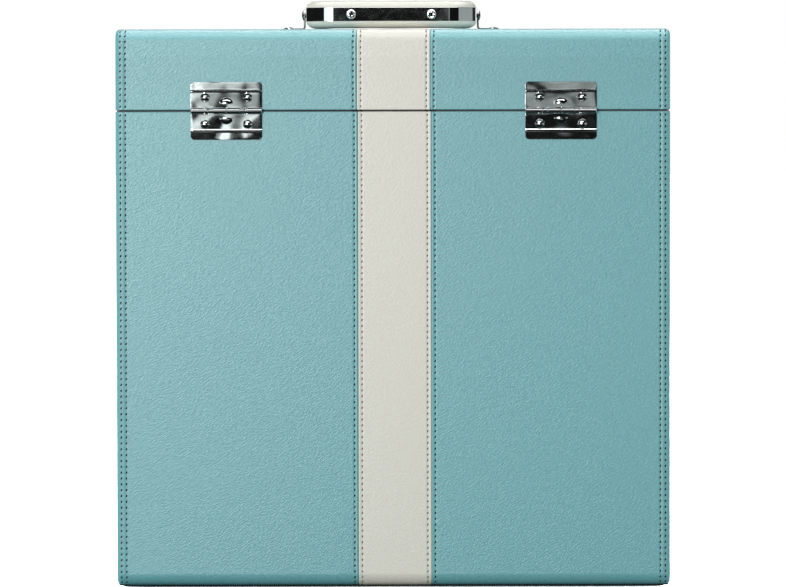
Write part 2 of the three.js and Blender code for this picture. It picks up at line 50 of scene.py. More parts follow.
# Turns sizes in millimetres into metres.
def metres(sizes):
    if isinstance(sizes, dict):
        return {name: metres(size) for name, size in sizes.items()}
    if isinstance(sizes, tuple):
        return tuple(metres(size) for size in sizes)
    return sizes * mm


# Mesh helpers

def pick(items, test):
    return [item for item in items if test(item)]


def vertsOf(geom):
    return pick(geom, lambda g: isinstance(g, bmesh.types.BMVert))


def middle(edge):
    return (edge.verts[0].co + edge.verts[1].co) / 2


def near(first, second):
    return abs(first - second) < 1e-6


# The edges that run along an axis and whose middle passes a test.
def edgesAlong(bm, axis, test=lambda place: True):
    def runs(edge):
        line = edge.verts[1].co - edge.verts[0].co
        return line.length > 0 and abs(line.normalized()[axis]) > 0.999
    return pick(bm.edges, lambda e: runs(e) and test(middle(e)))


# A place along one axis, with a pair of places along the other two.
def pointOn(axis, place, pair=(0, 0)):
    point = list(pair)
    point.insert(axis, place)
    return Vector(point)


def pointOut(bm):
    bmesh.ops.recalc_face_normals(bm, faces=bm.faces)
    bm.normal_update()


def addBlock(bm, low, high):
    verts = bmesh.ops.create_cube(bm, size=1)["verts"]
    bmesh.ops.scale(bm, vec=Vector(high) - Vector(low), verts=verts)
    bmesh.ops.translate(bm, vec=(Vector(high) + Vector(low)) / 2, verts=verts)


# A flat outline in the other two axes, pulled along one axis into a bar.
def addBar(bm, axis, low, high, outline):
    face = bm.faces.new([bm.verts.new(pointOn(axis, low, pair)) for pair in outline])
    grown = bmesh.ops.extrude_face_region(bm, geom=[face], use_keep_orig=True)["geom"]
    bmesh.ops.translate(bm, vec=pointOn(axis, high - low), verts=vertsOf(grown))
    pointOut(bm)


# A profile of (radius, height) points turned about the z axis.
def turned(profile, steps):
    bm = bmesh.new()
    verts = [bm.verts.new((radius, 0, height)) for radius, height in profile]
    edges = [bm.edges.new(pair) for pair in zip(verts, verts[1:])]
    bmesh.ops.spin(
        bm, geom=verts + edges, cent=(0, 0, 0), axis=(0, 0, 1),
        angle=2 * math.pi, steps=steps, use_merge=True, use_duplicate=False,
    )
    bmesh.ops.remove_doubles(bm, verts=bm.verts, dist=1e-7)
    pointOut(bm)
    return bm


# Pulls new faces out of edges, and gives the new edges and points, which still lie on the old ones.
def growEdges(bm, edges):
    grown = bmesh.ops.extrude_edge_only(bm, edges=edges)["geom"]
    verts = vertsOf(grown)
    edges = pick(grown, lambda g: isinstance(g, bmesh.types.BMEdge))
    return pick(edges, lambda e: all(v in verts for v in e.verts)), verts


def roundEdges(bm, edges, radius, steps, kind="EDGES"):
    bmesh.ops.bevel(
        bm, geom=edges, offset=radius, segments=steps, profile=0.5,
        affect=kind, material=-1, clamp_overlap=True,
    )


def roundSharp(bm, degrees, radius, steps=2):
    bm.normal_update()
    limit = math.radians(degrees)
    sharp = pick(bm.edges, lambda e: e.is_manifold and e.calc_face_angle(0) > limit)
    roundEdges(bm, sharp, radius, steps)


def planeCut(bm, axis, place, sign=0):
    bmesh.ops.bisect_plane(
        bm, geom=bm.verts[:] + bm.edges[:] + bm.faces[:], dist=1e-7,
        plane_co=pointOn(axis, place), plane_no=pointOn(axis, -sign or 1), clear_outer=sign != 0,
    )


# Steps inward and up round a quarter circle.
def quarterSteps(count):
    turns = [math.pi / 2 * k / count for k in range(count + 1)]
    return [
        (math.cos(before) - math.cos(turn), math.sin(turn) - math.sin(before))
        for before, turn in zip(turns, turns[1:])
    ]


# Gives an open sheet its thickness, behind the side that faces outward.
def thicken(bm, outward, thickness):
    bm.normal_update()
    total = sum((face.normal * face.calc_area() for face in bm.faces), Vector())
    if total.dot(Vector(outward)) < 0:
        bmesh.ops.reverse_faces(bm, faces=bm.faces)
    bm.normal_update()
    bmesh.ops.solidify(bm, geom=bm.faces[:], thickness=thickness)


# An open sheet bent along a path in the other two axes, with its bends and its end corners rounded.
def bentSheet(axis, half, path, isBend, bendRound, isEnd, endRound):
    bm = bmesh.new()
    verts = [bm.verts.new(pointOn(axis, -half, pair)) for pair in path]
    edges = [bm.edges.new(pair) for pair in zip(verts, verts[1:])]
    bmesh.ops.translate(bm, vec=pointOn(axis, 2 * half), verts=growEdges(bm, edges)[1])
    roundEdges(bm, edgesAlong(bm, axis, isBend), *bendRound)
    roundEdges(bm, pick(bm.verts, lambda v: isEnd(v.co)), *endRound, "VERTICES")
    return bm


def move(bm, matrix):
    bmesh.ops.transform(bm, matrix=matrix, verts=bm.verts)


# Turns what points up so that it points along a direction, and sets it in place.
def facing(direction, place):
    return Matrix.Translation(place) @ Vector(direction).to_track_quat("Z", "Y").to_matrix().to_4x4()


def meshOf(bm, name):
    mesh = bpy.data.meshes.new(name)
    bm.to_mesh(mesh)
    bm.free()
    return mesh


def append(bm, part):
    mesh = meshOf(part, "part")
    bm.from_mesh(mesh)
    bpy.data.meshes.remove(mesh)


# A domed head over a short shank.
def roundHead(radius, height, rim, depth, turnSteps=28, steps=7):
    sphere = (radius * radius + (height - rim) ** 2) / (2 * (height - rim))
    sweep = math.asin(min(1, radius / sphere))
    turns = [sweep * k / steps for k in range(steps + 1)]
    dome = [(sphere * math.sin(turn), height - sphere + sphere * math.cos(turn)) for turn in turns]
    shank = [(radius, 0), (radius * 0.5, 0), (radius * 0.5, -depth), (0, -depth)]
    return turned(dome + shank, turnSteps)


def addObject(name, data):
    thing = bpy.data.objects.new(name, data)
    bpy.context.scene.collection.objects.link(thing)
    return thing


def addPiece(
    bm, name, body, replaced=(), materials=None, smooth=40, even=True,
):
    mesh = meshOf(bm, name)
    for material in materials or [chrome]:
        mesh.materials.append(material)
    mesh.shade_smooth()
    mesh.set_sharp_from_angle(angle=math.radians(smooth))
    piece = addObject(name, mesh)
    if even:
        piece.modifiers.new("evenShading", "WEIGHTED_NORMAL").keep_sharp = True
    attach(piece, body)
    if replaced:
        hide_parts(*replaced)
    return piece


# Material helpers

def screenColour(red, green, blue):
    def linear(level):
        share = level / 255
        return share / 12.92 if share <= 0.04045 else ((share + 0.055) / 1.055) ** 2.4
    return (linear(red), linear(green), linear(blue), 1)


def scaled(colour, share):
    return tuple(level * share for level in colour[:3]) + (1,)


def startMaterial(name):
    material = bpy.data.materials.new(name)
    material.use_nodes = True
    return material, material.node_tree, material.node_tree.nodes["Principled BSDF"]


def setInputs(tree, node, inputs):
    for key, value in inputs.items():
        if isinstance(value, bpy.types.NodeSocket):
            tree.links.new(value, node.inputs[key])
        else:
            node.inputs[key].default_value = value


# A material whose shader takes the inputs that a function makes in its node tree.
def makeMaterial(name, inputsOf, *details):
    material, tree, shader = startMaterial(name)
    setInputs(tree, shader, inputsOf(tree, *details))
    return material


def addNode(tree, kind, inputs=None, **settings):
    node = tree.nodes.new(kind)
    for key, value in settings.items():
        setattr(node, key, value)
    setInputs(tree, node, inputs or {})
    return node


def objectPlace(tree, stretch=(1, 1, 1), turn=0):
    place = addNode(tree, "ShaderNodeTexCoord").outputs["Object"]
    inputs = {"Vector": place, "Scale": stretch, "Rotation": (0, math.radians(turn), 0)}
    return addNode(tree, "ShaderNodeMapping", inputs, vector_type="TEXTURE").outputs["Vector"]


def noiseOf(tree, place, scale, detail=2.0, roughness=0.5, distortion=0.0):
    inputs = {
        "Vector": place, "Scale": scale, "Detail": detail, "Roughness": roughness,
        "Distortion": distortion,
    }
    return addNode(tree, "ShaderNodeTexNoise", inputs).outputs["Fac"]


def waveOf(tree, direction, scale, distortion, detail=2.0):
    inputs = {
        "Vector": objectPlace(tree), "Scale": scale, "Distortion": distortion, "Detail": detail,
    }
    return addNode(tree, "ShaderNodeTexWave", inputs, bands_direction=direction).outputs["Fac"]


def mixColours(tree, share, first, second):
    inputs = {0: share, 6: first, 7: second}
    return addNode(tree, "ShaderNodeMix", inputs, data_type="RGBA").outputs[2]


def rangeOf(tree, value, low, high, newLow, newHigh):
    inputs = {
        "Value": value, "From Min": low, "From Max": high, "To Min": newLow, "To Max": newHigh,
    }
    return addNode(tree, "ShaderNodeMapRange", inputs).outputs["Result"]


def mathOf(tree, kind, first, second):
    return addNode(tree, "ShaderNodeMath", {0: first, 1: second}, operation=kind).outputs["Value"]


def bumpOf(tree, height, distance, under=None):
    inputs = {"Height": height, "Distance": distance}
    if under:
        inputs["Normal"] = under
    return addNode(tree, "ShaderNodeBump", inputs).outputs["Normal"]


# Materials

leatherLook = {
    "blue": screenColour(103, 166, 171),
    # Darker colours that the grain's low places take: painted shade in the creases.
    "blueCrease": screenColour(70, 136, 143),
    "cream": screenColour(206, 206, 195),
    "creamCrease": screenColour(196, 195, 183),
    "creaseShadeShare": 0.45,
    "depthShare": {"blue": 1.0, "cream": 0.7},
    "pebblesPerMetre": 1000,
    "pebbleSmoothness": 0.7,
    "pebbleHeight": 0.2,
    "ripplesPerMetre": 1400,
    "poresPerMetre": 2600,
    "blotchesPerMetre": 12,
    "blotchShade": 0.95,
    "blotchShare": 0.3,
    "warpsPerMetre": 420,
    "warp": 0.35 * mm,
    "grainDepth": 0.16 * mm,
    "poreDepth": 0.03 * mm,
    "stretch": (2.4, 1.1, 1),
    "grainTurn": -35,
    "roughness": (0.42, 0.35),
    "specular": 0.8,
}


def leather(tree, colour):
    look = leatherLook
    base, depthShare = look[colour], look["depthShare"][colour]
    place = objectPlace(tree, look["stretch"], look["grainTurn"])
    warp = noiseOf(tree, place, look["warpsPerMetre"]).node.outputs["Color"]
    warped = addNode(
        tree, "ShaderNodeVectorMath", {0: warp, 1: (look["warp"],) * 3, 2: place},
        operation="MULTIPLY_ADD",
    )
    pebbles = addNode(
        tree, "ShaderNodeTexVoronoi",
        {"Vector": warped.outputs["Vector"], "Scale": look["pebblesPerMetre"],
         "Smoothness": look["pebbleSmoothness"]},
        feature="SMOOTH_F1",
    )
    ripples = noiseOf(tree, place, look["ripplesPerMetre"], 1.5, 0.45, 0.2)
    pores = noiseOf(tree, place, look["poresPerMetre"])
    blotches = noiseOf(tree, objectPlace(tree), look["blotchesPerMetre"], 3.0)
    domes = rangeOf(tree, pebbles.outputs["Distance"], 0, 0.8, look["pebbleHeight"], 0)
    grain = mathOf(tree, "ADD", ripples, domes)
    # The grain's low places are mixed towards the crease colour: painted shade in the creases.
    low = rangeOf(tree, grain, 0.35, 0.75, look["creaseShadeShare"], 0.0)
    toned = mixColours(tree, low, base, look[colour + "Crease"])
    share = rangeOf(tree, blotches, 0.35, 0.7, 0.0, look["blotchShare"])
    fine = bumpOf(tree, pores, look["poreDepth"] * depthShare)
    return {
        "Base Color": mixColours(tree, share, toned, scaled(base, look["blotchShade"])),
        "Roughness": rangeOf(tree, grain, 0.35, 0.8, *look["roughness"]),
        "Specular IOR Level": look["specular"],
        "Normal": bumpOf(tree, grain, look["grainDepth"] * depthShare, fine),
    }


threadLook = {
    "blue": screenColour(122, 180, 184),
    "cream": screenColour(212, 211, 200),
    "strandsPerMetre": 370,
    "strandShade": 0.8,
    "strandDepth": 0.05 * mm,
    "roughness": 0.6,
}


def thread(tree, colour):
    look = threadLook
    strands = waveOf(tree, "DIAGONAL", look["strandsPerMetre"], 1.5)
    dark = scaled(look[colour], look["strandShade"])
    return {
        "Base Color": mixColours(tree, strands, dark, look[colour]),
        "Roughness": look["roughness"],
        "Normal": bumpOf(tree, strands, look["strandDepth"]),
    }


# Dark colours for the floor of each needle hole: painted shade in the hole.
holeShadeLook = {
    "blue": screenColour(12, 44, 48),
    "cream": screenColour(122, 122, 120),
    "specksPerMetre": 1800,
    "speckShade": 0.5,
    "roughness": 0.9,
    "specular": 0.1,
}


def hole(tree, colour):
    look = holeShadeLook
    specks = noiseOf(tree, objectPlace(tree), look["specksPerMetre"])
    dark = scaled(look[colour], look["speckShade"])
    return {
        "Base Color": mixColours(tree, specks, dark, look[colour]),
        "Roughness": look["roughness"],
        "Specular IOR Level": look["specular"],
    }


# Each metal has its colour and its roughness where it is clean and where it is smudged.
metalLook = {
    "chromePlate": ((0.80, 0.82, 0.82, 1), 0.03, 0.09),
    "wornChromePlate": ((0.80, 0.82, 0.82, 1), 0.4, 0.55),
    # A darker copy of the chrome for the handle brackets: painted shade standing in for dark
    # reflections.
    "shadedChromePlate": ((0.20, 0.21, 0.21, 1), 0.12, 0.22),
    "plainSteel": ((0.50, 0.51, 0.52, 1), 0.25, 0.4),
    "smudgesPerMetre": 160,
    "smudgeShade": 0.84,
    "smudgeShare": 0.5,
    "scratchesPerMetre": 900,
    "scratchStretch": (15, 1, 1),
    "scratchDepth": 0.0007 * mm,
    "wavesPerMetre": 55,
    "waveDepth": 0.02 * mm,
}


def metal(tree, name):
    look = metalLook
    colour, lowRough, highRough = look[name]
    place = objectPlace(tree)
    smudges = noiseOf(tree, place, look["smudgesPerMetre"], 3.0, 0.6)
    scratches = noiseOf(
        tree, objectPlace(tree, look["scratchStretch"]), look["scratchesPerMetre"], 3.0,
    )
    waves = noiseOf(tree, place, look["wavesPerMetre"], 1.0)
    share = rangeOf(tree, smudges, 0.4, 0.75, 0.0, look["smudgeShare"])
    fine = bumpOf(tree, scratches, look["scratchDepth"])
    return {
        "Base Color": mixColours(tree, share, colour, scaled(colour, look["smudgeShade"])),
        "Metallic": 1.0,
        "Roughness": rangeOf(tree, smudges, 0.35, 0.75, lowRough, highRough),
        "Normal": bumpOf(tree, waves, look["waveDepth"], fine),
    }


clothLook = {
    "colour": screenColour(58, 59, 64),
    "shades": (0.55, 1.35),
    "threadsPerMetre": 420,
    "threadDepth": 0.08 * mm,
    "fluffPerMetre": 900,
    "roughness": 0.85,
    "specular": 0.2,
    "sheen": 0.3,
}


def cloth(tree):
    look = clothLook
    total = waveOf(tree, "X", look["threadsPerMetre"], 0.6, 1.0)
    for direction in ("Y", "Z"):
        wave = waveOf(tree, direction, look["threadsPerMetre"], 0.6, 1.0)
        total = mathOf(tree, "ADD", total, wave)
    fluff = noiseOf(tree, objectPlace(tree), look["fluffPerMetre"], 3.0)
    tone = rangeOf(tree, mathOf(tree, "ADD", total, fluff), 0.8, 3.2, 0.0, 1.0)
    dark, light = (scaled(look["colour"], shade) for shade in look["shades"])
    return {
        "Base Color": mixColours(tree, tone, dark, light),
        "Roughness": look["roughness"],
        "Specular IOR Level": look["specular"],
        "Sheen Weight": look["sheen"],
        "Normal": bumpOf(tree, total, look["threadDepth"]),
    }


# Each wood has its light and dark tones and its layers per metre.
woodLook = {
    "plywood": (screenColour(214, 187, 143), screenColour(168, 132, 88), 90.0),
    "stainedPlywood": (screenColour(66, 65, 68), screenColour(50, 49, 53), 90.0),
    "gripWood": (screenColour(190, 158, 108), screenColour(138, 104, 62), 20.0),
    "fibresPerMetre": 360,
    "fibreStretch": (10, 1, 1),
    "fibreDepth": 0.1 * mm,
    "layerShades": (0.7, 1.3),
    "roughness": 0.65,
}


def wood(tree, name):
    look = woodLook
    light, dark, layers = look[name]
    place = objectPlace(tree, look["fibreStretch"])
    fibres = noiseOf(tree, place, look["fibresPerMetre"], 5.0, 0.6, 0.4)
    plies = rangeOf(tree, waveOf(tree, "Y", layers, 0.8), 0.0, 1.0, *look["layerShades"])
    tone = rangeOf(tree, mathOf(tree, "MULTIPLY", fibres, plies), 0.3, 0.7, 0.0, 1.0)
    return {
        "Base Color": mixColours(tree, tone, light, dark),
        "Roughness": look["roughness"],
        "Normal": bumpOf(tree, fibres, look["fibreDepth"]),
    }


leathers, threads, holeShades = (
    {colour: makeMaterial(colour + kind, inputsOf, colour) for colour in ("blue", "cream")}
    for kind, inputsOf in (("Leather", leather), ("Thread", thread), ("Hole", hole))
)
chrome, wornChrome, shadedChrome, steel = (
    makeMaterial(name, metal, name)
    for name in ("chromePlate", "wornChromePlate", "shadedChromePlate", "plainSteel")
)
liningCloth = makeMaterial("liningCloth", cloth)
plywood, stainedPlywood, gripWood = (
    makeMaterial(name, wood, name) for name in ("plywood", "stainedPlywood", "gripWood")
)
for name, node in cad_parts.items():
    if name.endswith("_board") or name == "handle_core":
        board = stainedPlywood if name.startswith("lid_") else plywood
        for place in node.material_slots:
            place.material = gripWood if name == "handle_core" else board
print("materials made")


# Leather covering: each half is one shell, cut into bands and pulled in along its seams.

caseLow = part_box("body_left_side_cover")[0]
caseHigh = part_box("lid_right_side_cover")[1]
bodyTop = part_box("body_right_side_cover")[1].z
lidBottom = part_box("lid_right_side_cover")[0].z
halves = {
    "body": {"body": "case_body", "rim": bodyTop, "way": -1, "far": caseLow.z},
    "lid": {"body": "lid", "rim": lidBottom, "way": 1, "far": caseHigh.z},
}

cover = metres({
    "longEdgeRadius": 8,
    "sideEdgeRadius": 3,
    "rimDepth": 10.1,
    "rimFoldRadius": 0.6,
    "thickness": 0.55,
    "sideSeam": 4.6,
    "seamGap": 0.03,
    "stripeWidth": 46,
    "stripeCentre": {"body": 1, "lid": 0.4},
    # distance from the seam or the row, and how far the leather is pulled in there
    "stripeEdgeDip": ((0, 0.15), (0.12, 0.06), (0.4, 0)),
    "wrapEdgeDip": ((0, 0.5), (0.2, 0.38), (0.5, 0.16), (0.9, 0)),
    "sideEdgeDip": ((0, 0.05), (0.2, 0)),
    "rowDip": ((0, 0.19), (0.5, 0.18), (0.75, 0.12), (1.2, 0)),
    "endSwell": 0.4,
    "liningReach": 0.05,
    "swellReach": 0.01,
}) | {
    "longEdgeSteps": 12,
    "sideEdgeSteps": 6,
    "rimFoldSteps": 4,
    # share of the rim's depth, and how far the leather swells over it
    "rimSwell": (
        (0.02, 0), (0.12, 0), (0.2, 0.4 * mm), (0.4, 0.45 * mm), (0.75, 0.45 * mm), (1, 0),
    ),
}

stitch = metres({
    "pitch": 3.7,
    "outsideStripe": 2.5,
    "insideStripe": 2.3,
    "outerRow": 3.0,
    "innerRow": 6.2,
    "rimClearance": 2.2,
    "threadSize": (0.46, 2.5, 0.3),
    "threadDepth": 0.15,
    "holeSize": (0.95, 1.8),
    "holeDepth": 0.16,
    "holeRim": (0.12, 0.07),
    "holeWell": (0.06, -0.05),
}) | {"threadLean": -8, "holeLean": -22}


def seamPlaces(half):
    side = caseHigh.x - cover["sideSeam"]
    centre = cover["stripeCentre"][half]
    return -side, centre - cover["stripeWidth"] / 2, centre + cover["stripeWidth"] / 2, side


# The rows of stitches in the blue leather and in the cream.
def rowPlaces(half):
    left, right = seamPlaces(half)[1:3]
    edge = caseHigh.x
    blueRows = [
        -edge + stitch["outerRow"], -edge + stitch["innerRow"],
        left - stitch["outsideStripe"], right + stitch["outsideStripe"],
        edge - stitch["innerRow"], edge - stitch["outerRow"],
    ]
    return blueRows, [left + stitch["insideStripe"], right - stitch["insideStripe"]]


# The bands of leather across the case, each with its two edges.
def bands(half):
    first, left, right, last = seamPlaces(half)
    gap = cover["seamGap"] / 2
    return [
        ("left_side_cover", -1, first - gap),
        ("left_wrap", first + gap, left - gap),
        ("stripe", left + gap, right - gap),
        ("right_wrap", right + gap, last - gap),
        ("right_side_cover", last + gap, 1),
    ]


# How far the leather is pulled in at each place across the case.
def dipPlaces(half):
    places = {}
    blueRows, creamRows = rowPlaces(half)
    for row in blueRows + creamRows:
        for out, dip in cover["rowDip"]:
            places[round(row - out, 7)] = places[round(row + out, 7)] = dip
    for name, low, high in bands(half):
        for edge, sign in ((low, 1), (high, -1)):
            if abs(edge) < caseHigh.x:
                kind = "stripe" if name == "stripe" else "wrap"
                kind = "side" if abs(edge) > caseHigh.x / 2 else kind
                for out, dip in cover[kind + "EdgeDip"]:
                    key = round(edge + sign * out, 7)
                    places[key] = max(dip, places.get(key, 0))
    return places


# The cut edge is folded over the rim of the board in a small round.
def foldRim(bm, rim, way):
    radius = cover["rimFoldRadius"]
    outward = bm.verts.layers.float_vector.new("outward")
    bm.normal_update()
    edges = pick(bm.edges, lambda e: e.is_boundary)
    for vert in {v for edge in edges for v in edge.verts}:
        vert[outward] = Vector((vert.normal.x, vert.normal.y, 0)).normalized()
        vert.co.z = rim + way * radius
    for inward, rise in quarterSteps(cover["rimFoldSteps"]):
        edges, verts = growEdges(bm, edges)
        for vert in verts:
            vert.co -= vert[outward] * radius * inward
            vert.co.z -= way * radius * rise
    for share, swell in cover["rimSwell"]:
        edges, verts = growEdges(bm, edges)
        depth = radius + share * (cover["rimDepth"] - radius)
        for vert in verts:
            inX, inY = caseHigh.x - depth, caseHigh.y - depth
            vert.co.x = max(-inX, min(inX, vert.co.x))
            vert.co.y = max(-inY, min(inY, vert.co.y))
            atEnd = share < 1 and near(abs(vert.co.x), inX)
            vert.co.z = rim - way * (max(swell, cover["endSwell"]) if atEnd else swell)
    bm.verts.layers.float_vector.remove(outward)
    bmesh.ops.remove_doubles(bm, verts=bm.verts, dist=1e-6)


def caseHalf(facts):
    bm = bmesh.new()
    addBlock(bm, caseLow, caseHigh)
    roundEdges(bm, edgesAlong(bm, 0), cover["longEdgeRadius"], cover["longEdgeSteps"])
    ends = pick(bm.edges, lambda e: near(abs(middle(e).x), caseHigh.x))
    roundEdges(bm, ends, cover["sideEdgeRadius"], cover["sideEdgeSteps"])
    planeCut(bm, 2, facts["rim"], facts["way"])
    foldRim(bm, facts["rim"], facts["way"])
    pointOut(bm)
    return bm


def coverPieces(half):
    facts = halves[half]
    whole = caseHalf(facts)
    dips = dipPlaces(half)
    for place in dips:
        planeCut(whole, 0, place)
    whole.normal_update()
    inX, inY = caseHigh.x - cover["rimDepth"], caseHigh.y - cover["rimDepth"]

    def rise(point):
        return facts["way"] * (point.z - facts["rim"])

    def onRim(point):
        return rise(point) < cover["rimFoldRadius"] / 2

    moves = []
    for vert in whole.verts:
        dip = dips.get(round(vert.co.x, 7), 0)
        endRim = onRim(vert.co) and abs(vert.co.x) > inX - 1e-6
        if dip and not endRim and not near(abs(vert.co.x), caseHigh.x):
            moves.append((vert, vert.normal * dip))
    for vert, shift in moves:
        vert.co -= shift

    def inBand(face, low, high):
        centre = face.calc_center_median()
        if onRim(centre) and abs(centre.x) > inX and abs(centre.y) < inY:
            return low == -1 if centre.x < 0 else high == 1
        return low < centre.x < high

    for name, low, high in bands(half):
        bm = whole.copy()
        outside = pick(bm.faces, lambda f: not inBand(f, low, high))
        bmesh.ops.delete(bm, geom=outside, context="FACES")
        bm.normal_update()
        bmesh.ops.solidify(bm, geom=bm.faces[:], thickness=cover["thickness"])
        # Dark lining cloth is laid over the flat of the rim: a guessed lining, and painted shade that
        # makes the seam dark.
        for face in bm.faces:
            up = rise(face.calc_center_median())
            flat = up < cover["liningReach"] and abs(face.normal.z) > 0.6
            face.material_index = int(flat or up < -cover["swellReach"])
        colour = "cream" if name == "stripe" else "blue"
        addPiece(
            bm, half + "_" + name + "_leather", facts["body"], [half + "_" + name],
            [leathers[colour], liningCloth], smooth=50,
        )
    whole.free()


for half in halves:
    coverPieces(half)
print("leather covering made")


# Stitching: a row runs from the rim at the back over the far side to the rim at the front.

def rowFrames(half):
    way, far = halves[half]["way"], halves[half]["far"]
    rim = halves[half]["rim"] + way * stitch["rimClearance"]
    radius = cover["longEdgeRadius"]
    wall = abs(far - rim) - radius
    bend = radius * math.pi / 2
    total = 2 * (wall + bend + caseHigh.y - radius)
    steps = 2 * round(total / stitch["pitch"])
    frames = []
    for index in range(steps + 1):
        side = 1 if 2 * index > steps else -1
        run = total * min(index, steps - index) / steps
        turn = max(0, min(run - wall, bend)) / radius
        inward = radius * (1 - math.cos(turn)) + max(0, run - wall - bend)
        rise = min(run, wall) + radius * math.sin(turn)
        frames.append((
            Vector((0, side * (caseHigh.y - inward), rim + way * rise)),
            Vector((0, math.sin(turn), -side * way * math.cos(turn))),
            Vector((0, side * math.cos(turn), way * math.sin(turn))),
        ))
    return frames


def placeMatrix(point, along, out, lean):
    axes = Matrix((along.cross(out), along, out)).transposed().to_4x4()
    return Matrix.Translation(point) @ axes @ Matrix.Rotation(math.radians(lean), 4, "Z")


def threadMesh():
    bm = bmesh.new()
    bmesh.ops.create_uvsphere(bm, u_segments=6, v_segments=6, radius=0.5)
    bmesh.ops.rotate(bm, matrix=Matrix.Rotation(math.pi / 2, 3, "X"), verts=bm.verts)
    bmesh.ops.scale(bm, vec=stitch["threadSize"], verts=bm.verts)
    return meshOf(bm, "threadStitch")


def holeMesh():
    bm = bmesh.new()
    bmesh.ops.create_circle(bm, cap_ends=True, segments=10, radius=0.5)
    bmesh.ops.scale(bm, vec=(*stitch["holeSize"], 1), verts=bm.verts)
    bm.normal_update()
    disc = bm.faces[:]
    for thickness, depth in (stitch["holeRim"], stitch["holeWell"]):
        bmesh.ops.inset_region(bm, faces=disc, thickness=thickness, depth=depth)
    # The hole's floor takes the dark hole colour, which is painted shade.
    disc[0].material_index = 1
    return meshOf(bm, "needleHole")


def repeated(template, places):
    bm = bmesh.new()
    for place in places:
        copy = template.copy()
        copy.transform(place)
        bm.from_mesh(copy)
        bpy.data.meshes.remove(copy)
    return bm


def stitchRows(half, rows, colour):
    places = {"hole": [], "thread": []}
    radius = cover["sideEdgeRadius"]
    for row in rows:
        over = max(0.0, abs(row) - (caseHigh.x - radius))
        tilt = math.copysign(math.asin(over / radius), row)
        sink = radius * (1 - math.cos(tilt))
        for index, (point, along, out) in enumerate(rowFrames(half)):
            face = out * math.cos(tilt) + Vector((math.sin(tilt), 0, 0))
            kind = "thread" if index % 2 else "hole"
            place = point + Vector((row, 0, 0)) - out * sink - face * stitch[kind + "Depth"]
            places[kind].append(placeMatrix(place, along, face, stitch[kind + "Lean"]))
    for kind, mesh, name, materials, smooth in (
        ("hole", holeMesh(), "_needle_holes", [leathers[colour], holeShades[colour]], 40),
        ("thread", threadMesh(), "_thread", [threads[colour]], 80),
    ):
        addPiece(
            repeated(mesh, places[kind]), half + "_" + colour + name, halves[half]["body"], (),
            materials, smooth, even=False,
        )


for half in halves:
    for colour, rows in zip(("blue", "cream"), rowPlaces(half)):
        stitchRows(half, rows, colour)
print("stitching made")


# Linings: the board panels with their edges eased and cloth over them.

lining = {"easing": 0.6 * mm, "easingSteps": 3}


def liningPiece(node, body):
    bm = bmesh.new()
    bm.from_mesh(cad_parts[node].data)
    bmesh.ops.remove_doubles(bm, verts=bm.verts, dist=1e-6)
    bmesh.ops.dissolve_limit(bm, angle_limit=math.radians(1), verts=bm.verts, edges=bm.edges)
    roundSharp(bm, 40, lining["easing"], lining["easingSteps"])
    addPiece(bm, node + "_cloth", body, [node], [liningCloth])


for part in ("floor", "back", "front", "left", "right"):
    liningPiece("body_" + part + "_liner", "case_body")
liningPiece("lid_liner", "lid")
print("linings made")


# Hinges, drawn about the middle of the knuckle with the case's face at y = 0.

hinge = metres({
    "width": 45,
    "leafLow": 2.05,
    "leafHigh": 18.2,
    "sheet": 0.8,
    "seat": 0.1,
    "cornerRadius": 2.3,
    "edgeRadius": 0.14,
    "knuckleRadius": 2.0,
    "boreRadius": 1.3,
    "outerKnuckle": (-22.5, -11.7),
    "innerKnuckle": (0.3, 8.6),
    "collar": (8.4, 11.4),
    "collarRadius": 1.6,
    "knuckleEase": 0.35,
    "tongueEdge": 0.12,
    "tongueOverlap": 0.6,
    "pinRadius": 1.2,
    "pinEnd": (0.1, 0.5),
    "beadRise": 12.2,
    "beadShape": ((-0.8, 0), (-0.5, 0.1), (-0.2, 0.32), (0.1, 0.36), (0.4, 0.2), (0.8, 0)),
    "lugSize": (4.4, 2.0, 4.3),
    "lugRise": 4.3,
    "lugBack": 0.2,
    "lugSheet": 0.64,
    "lugEdge": 0.15,
    "dent": 0.09,
    "rivetPlace": (13.4, 8.4),
    # radius, height, height of the rim and depth of the shank
    "rivet": (3.0, 1.9, 0.25, 3),
}) | {"lean": 1.2, "dentsPerMetre": 85.0, "columns": 30, "rows": 12}
hingeOut = -hinge["seat"] - hinge["sheet"]
hingeAxis = -hinge["seat"] - hinge["knuckleRadius"]


def tube(low, high, outer):
    inner, ease = hinge["boreRadius"], hinge["knuckleEase"]
    part = turned([
        (inner, low), (outer - ease, low), (outer, low + ease),
        (outer, high - ease), (outer - ease, high), (inner, high), (inner, low),
    ], 32)
    move(part, Matrix.Translation((0, hingeAxis, 0)) @ Matrix.Rotation(math.pi / 2, 4, "Y"))
    return part


def hingePlate(seed):
    low, high, half = hinge["leafLow"], hinge["leafHigh"], hinge["width"] / 2
    bm = bmesh.new()
    corners = ((-half, low), (half, low), (half, high), (-half, high))
    verts = [bm.verts.new((x, hingeOut, z)) for x, z in corners]
    bm.faces.new(verts)
    roundEdges(bm, verts[2:], hinge["cornerRadius"], 8, "VERTICES")
    shape = hinge["beadShape"]
    for out, rise in shape:
        planeCut(bm, 2, hinge["beadRise"] + out)
    for k in range(1, hinge["columns"]):
        planeCut(bm, 0, -half + hinge["width"] * k / hinge["columns"])
    for k in range(1, hinge["rows"]):
        planeCut(bm, 2, low + (high - low) * k / hinge["rows"])
    for vert in bm.verts:
        place = vert.co.z - hinge["beadRise"]
        for (out, rise), (nextOut, nextRise) in zip(shape, shape[1:]):
            if out <= place <= nextOut:
                vert.co.y -= rise + (nextRise - rise) * (place - out) / (nextOut - out)
        wobble = noise.noise(Vector((vert.co.x, seed, vert.co.z)) * hinge["dentsPerMetre"])
        vert.co.y -= max(-0.5, min(0.5, wobble)) * hinge["dent"] * 2
        vert.co.y += (vert.co.z - (low + high) / 2) * math.tan(math.radians(hinge["lean"]))
    thicken(bm, (0, -1, 0), hinge["sheet"])
    roundSharp(bm, 60, hinge["edgeRadius"])
    return bm


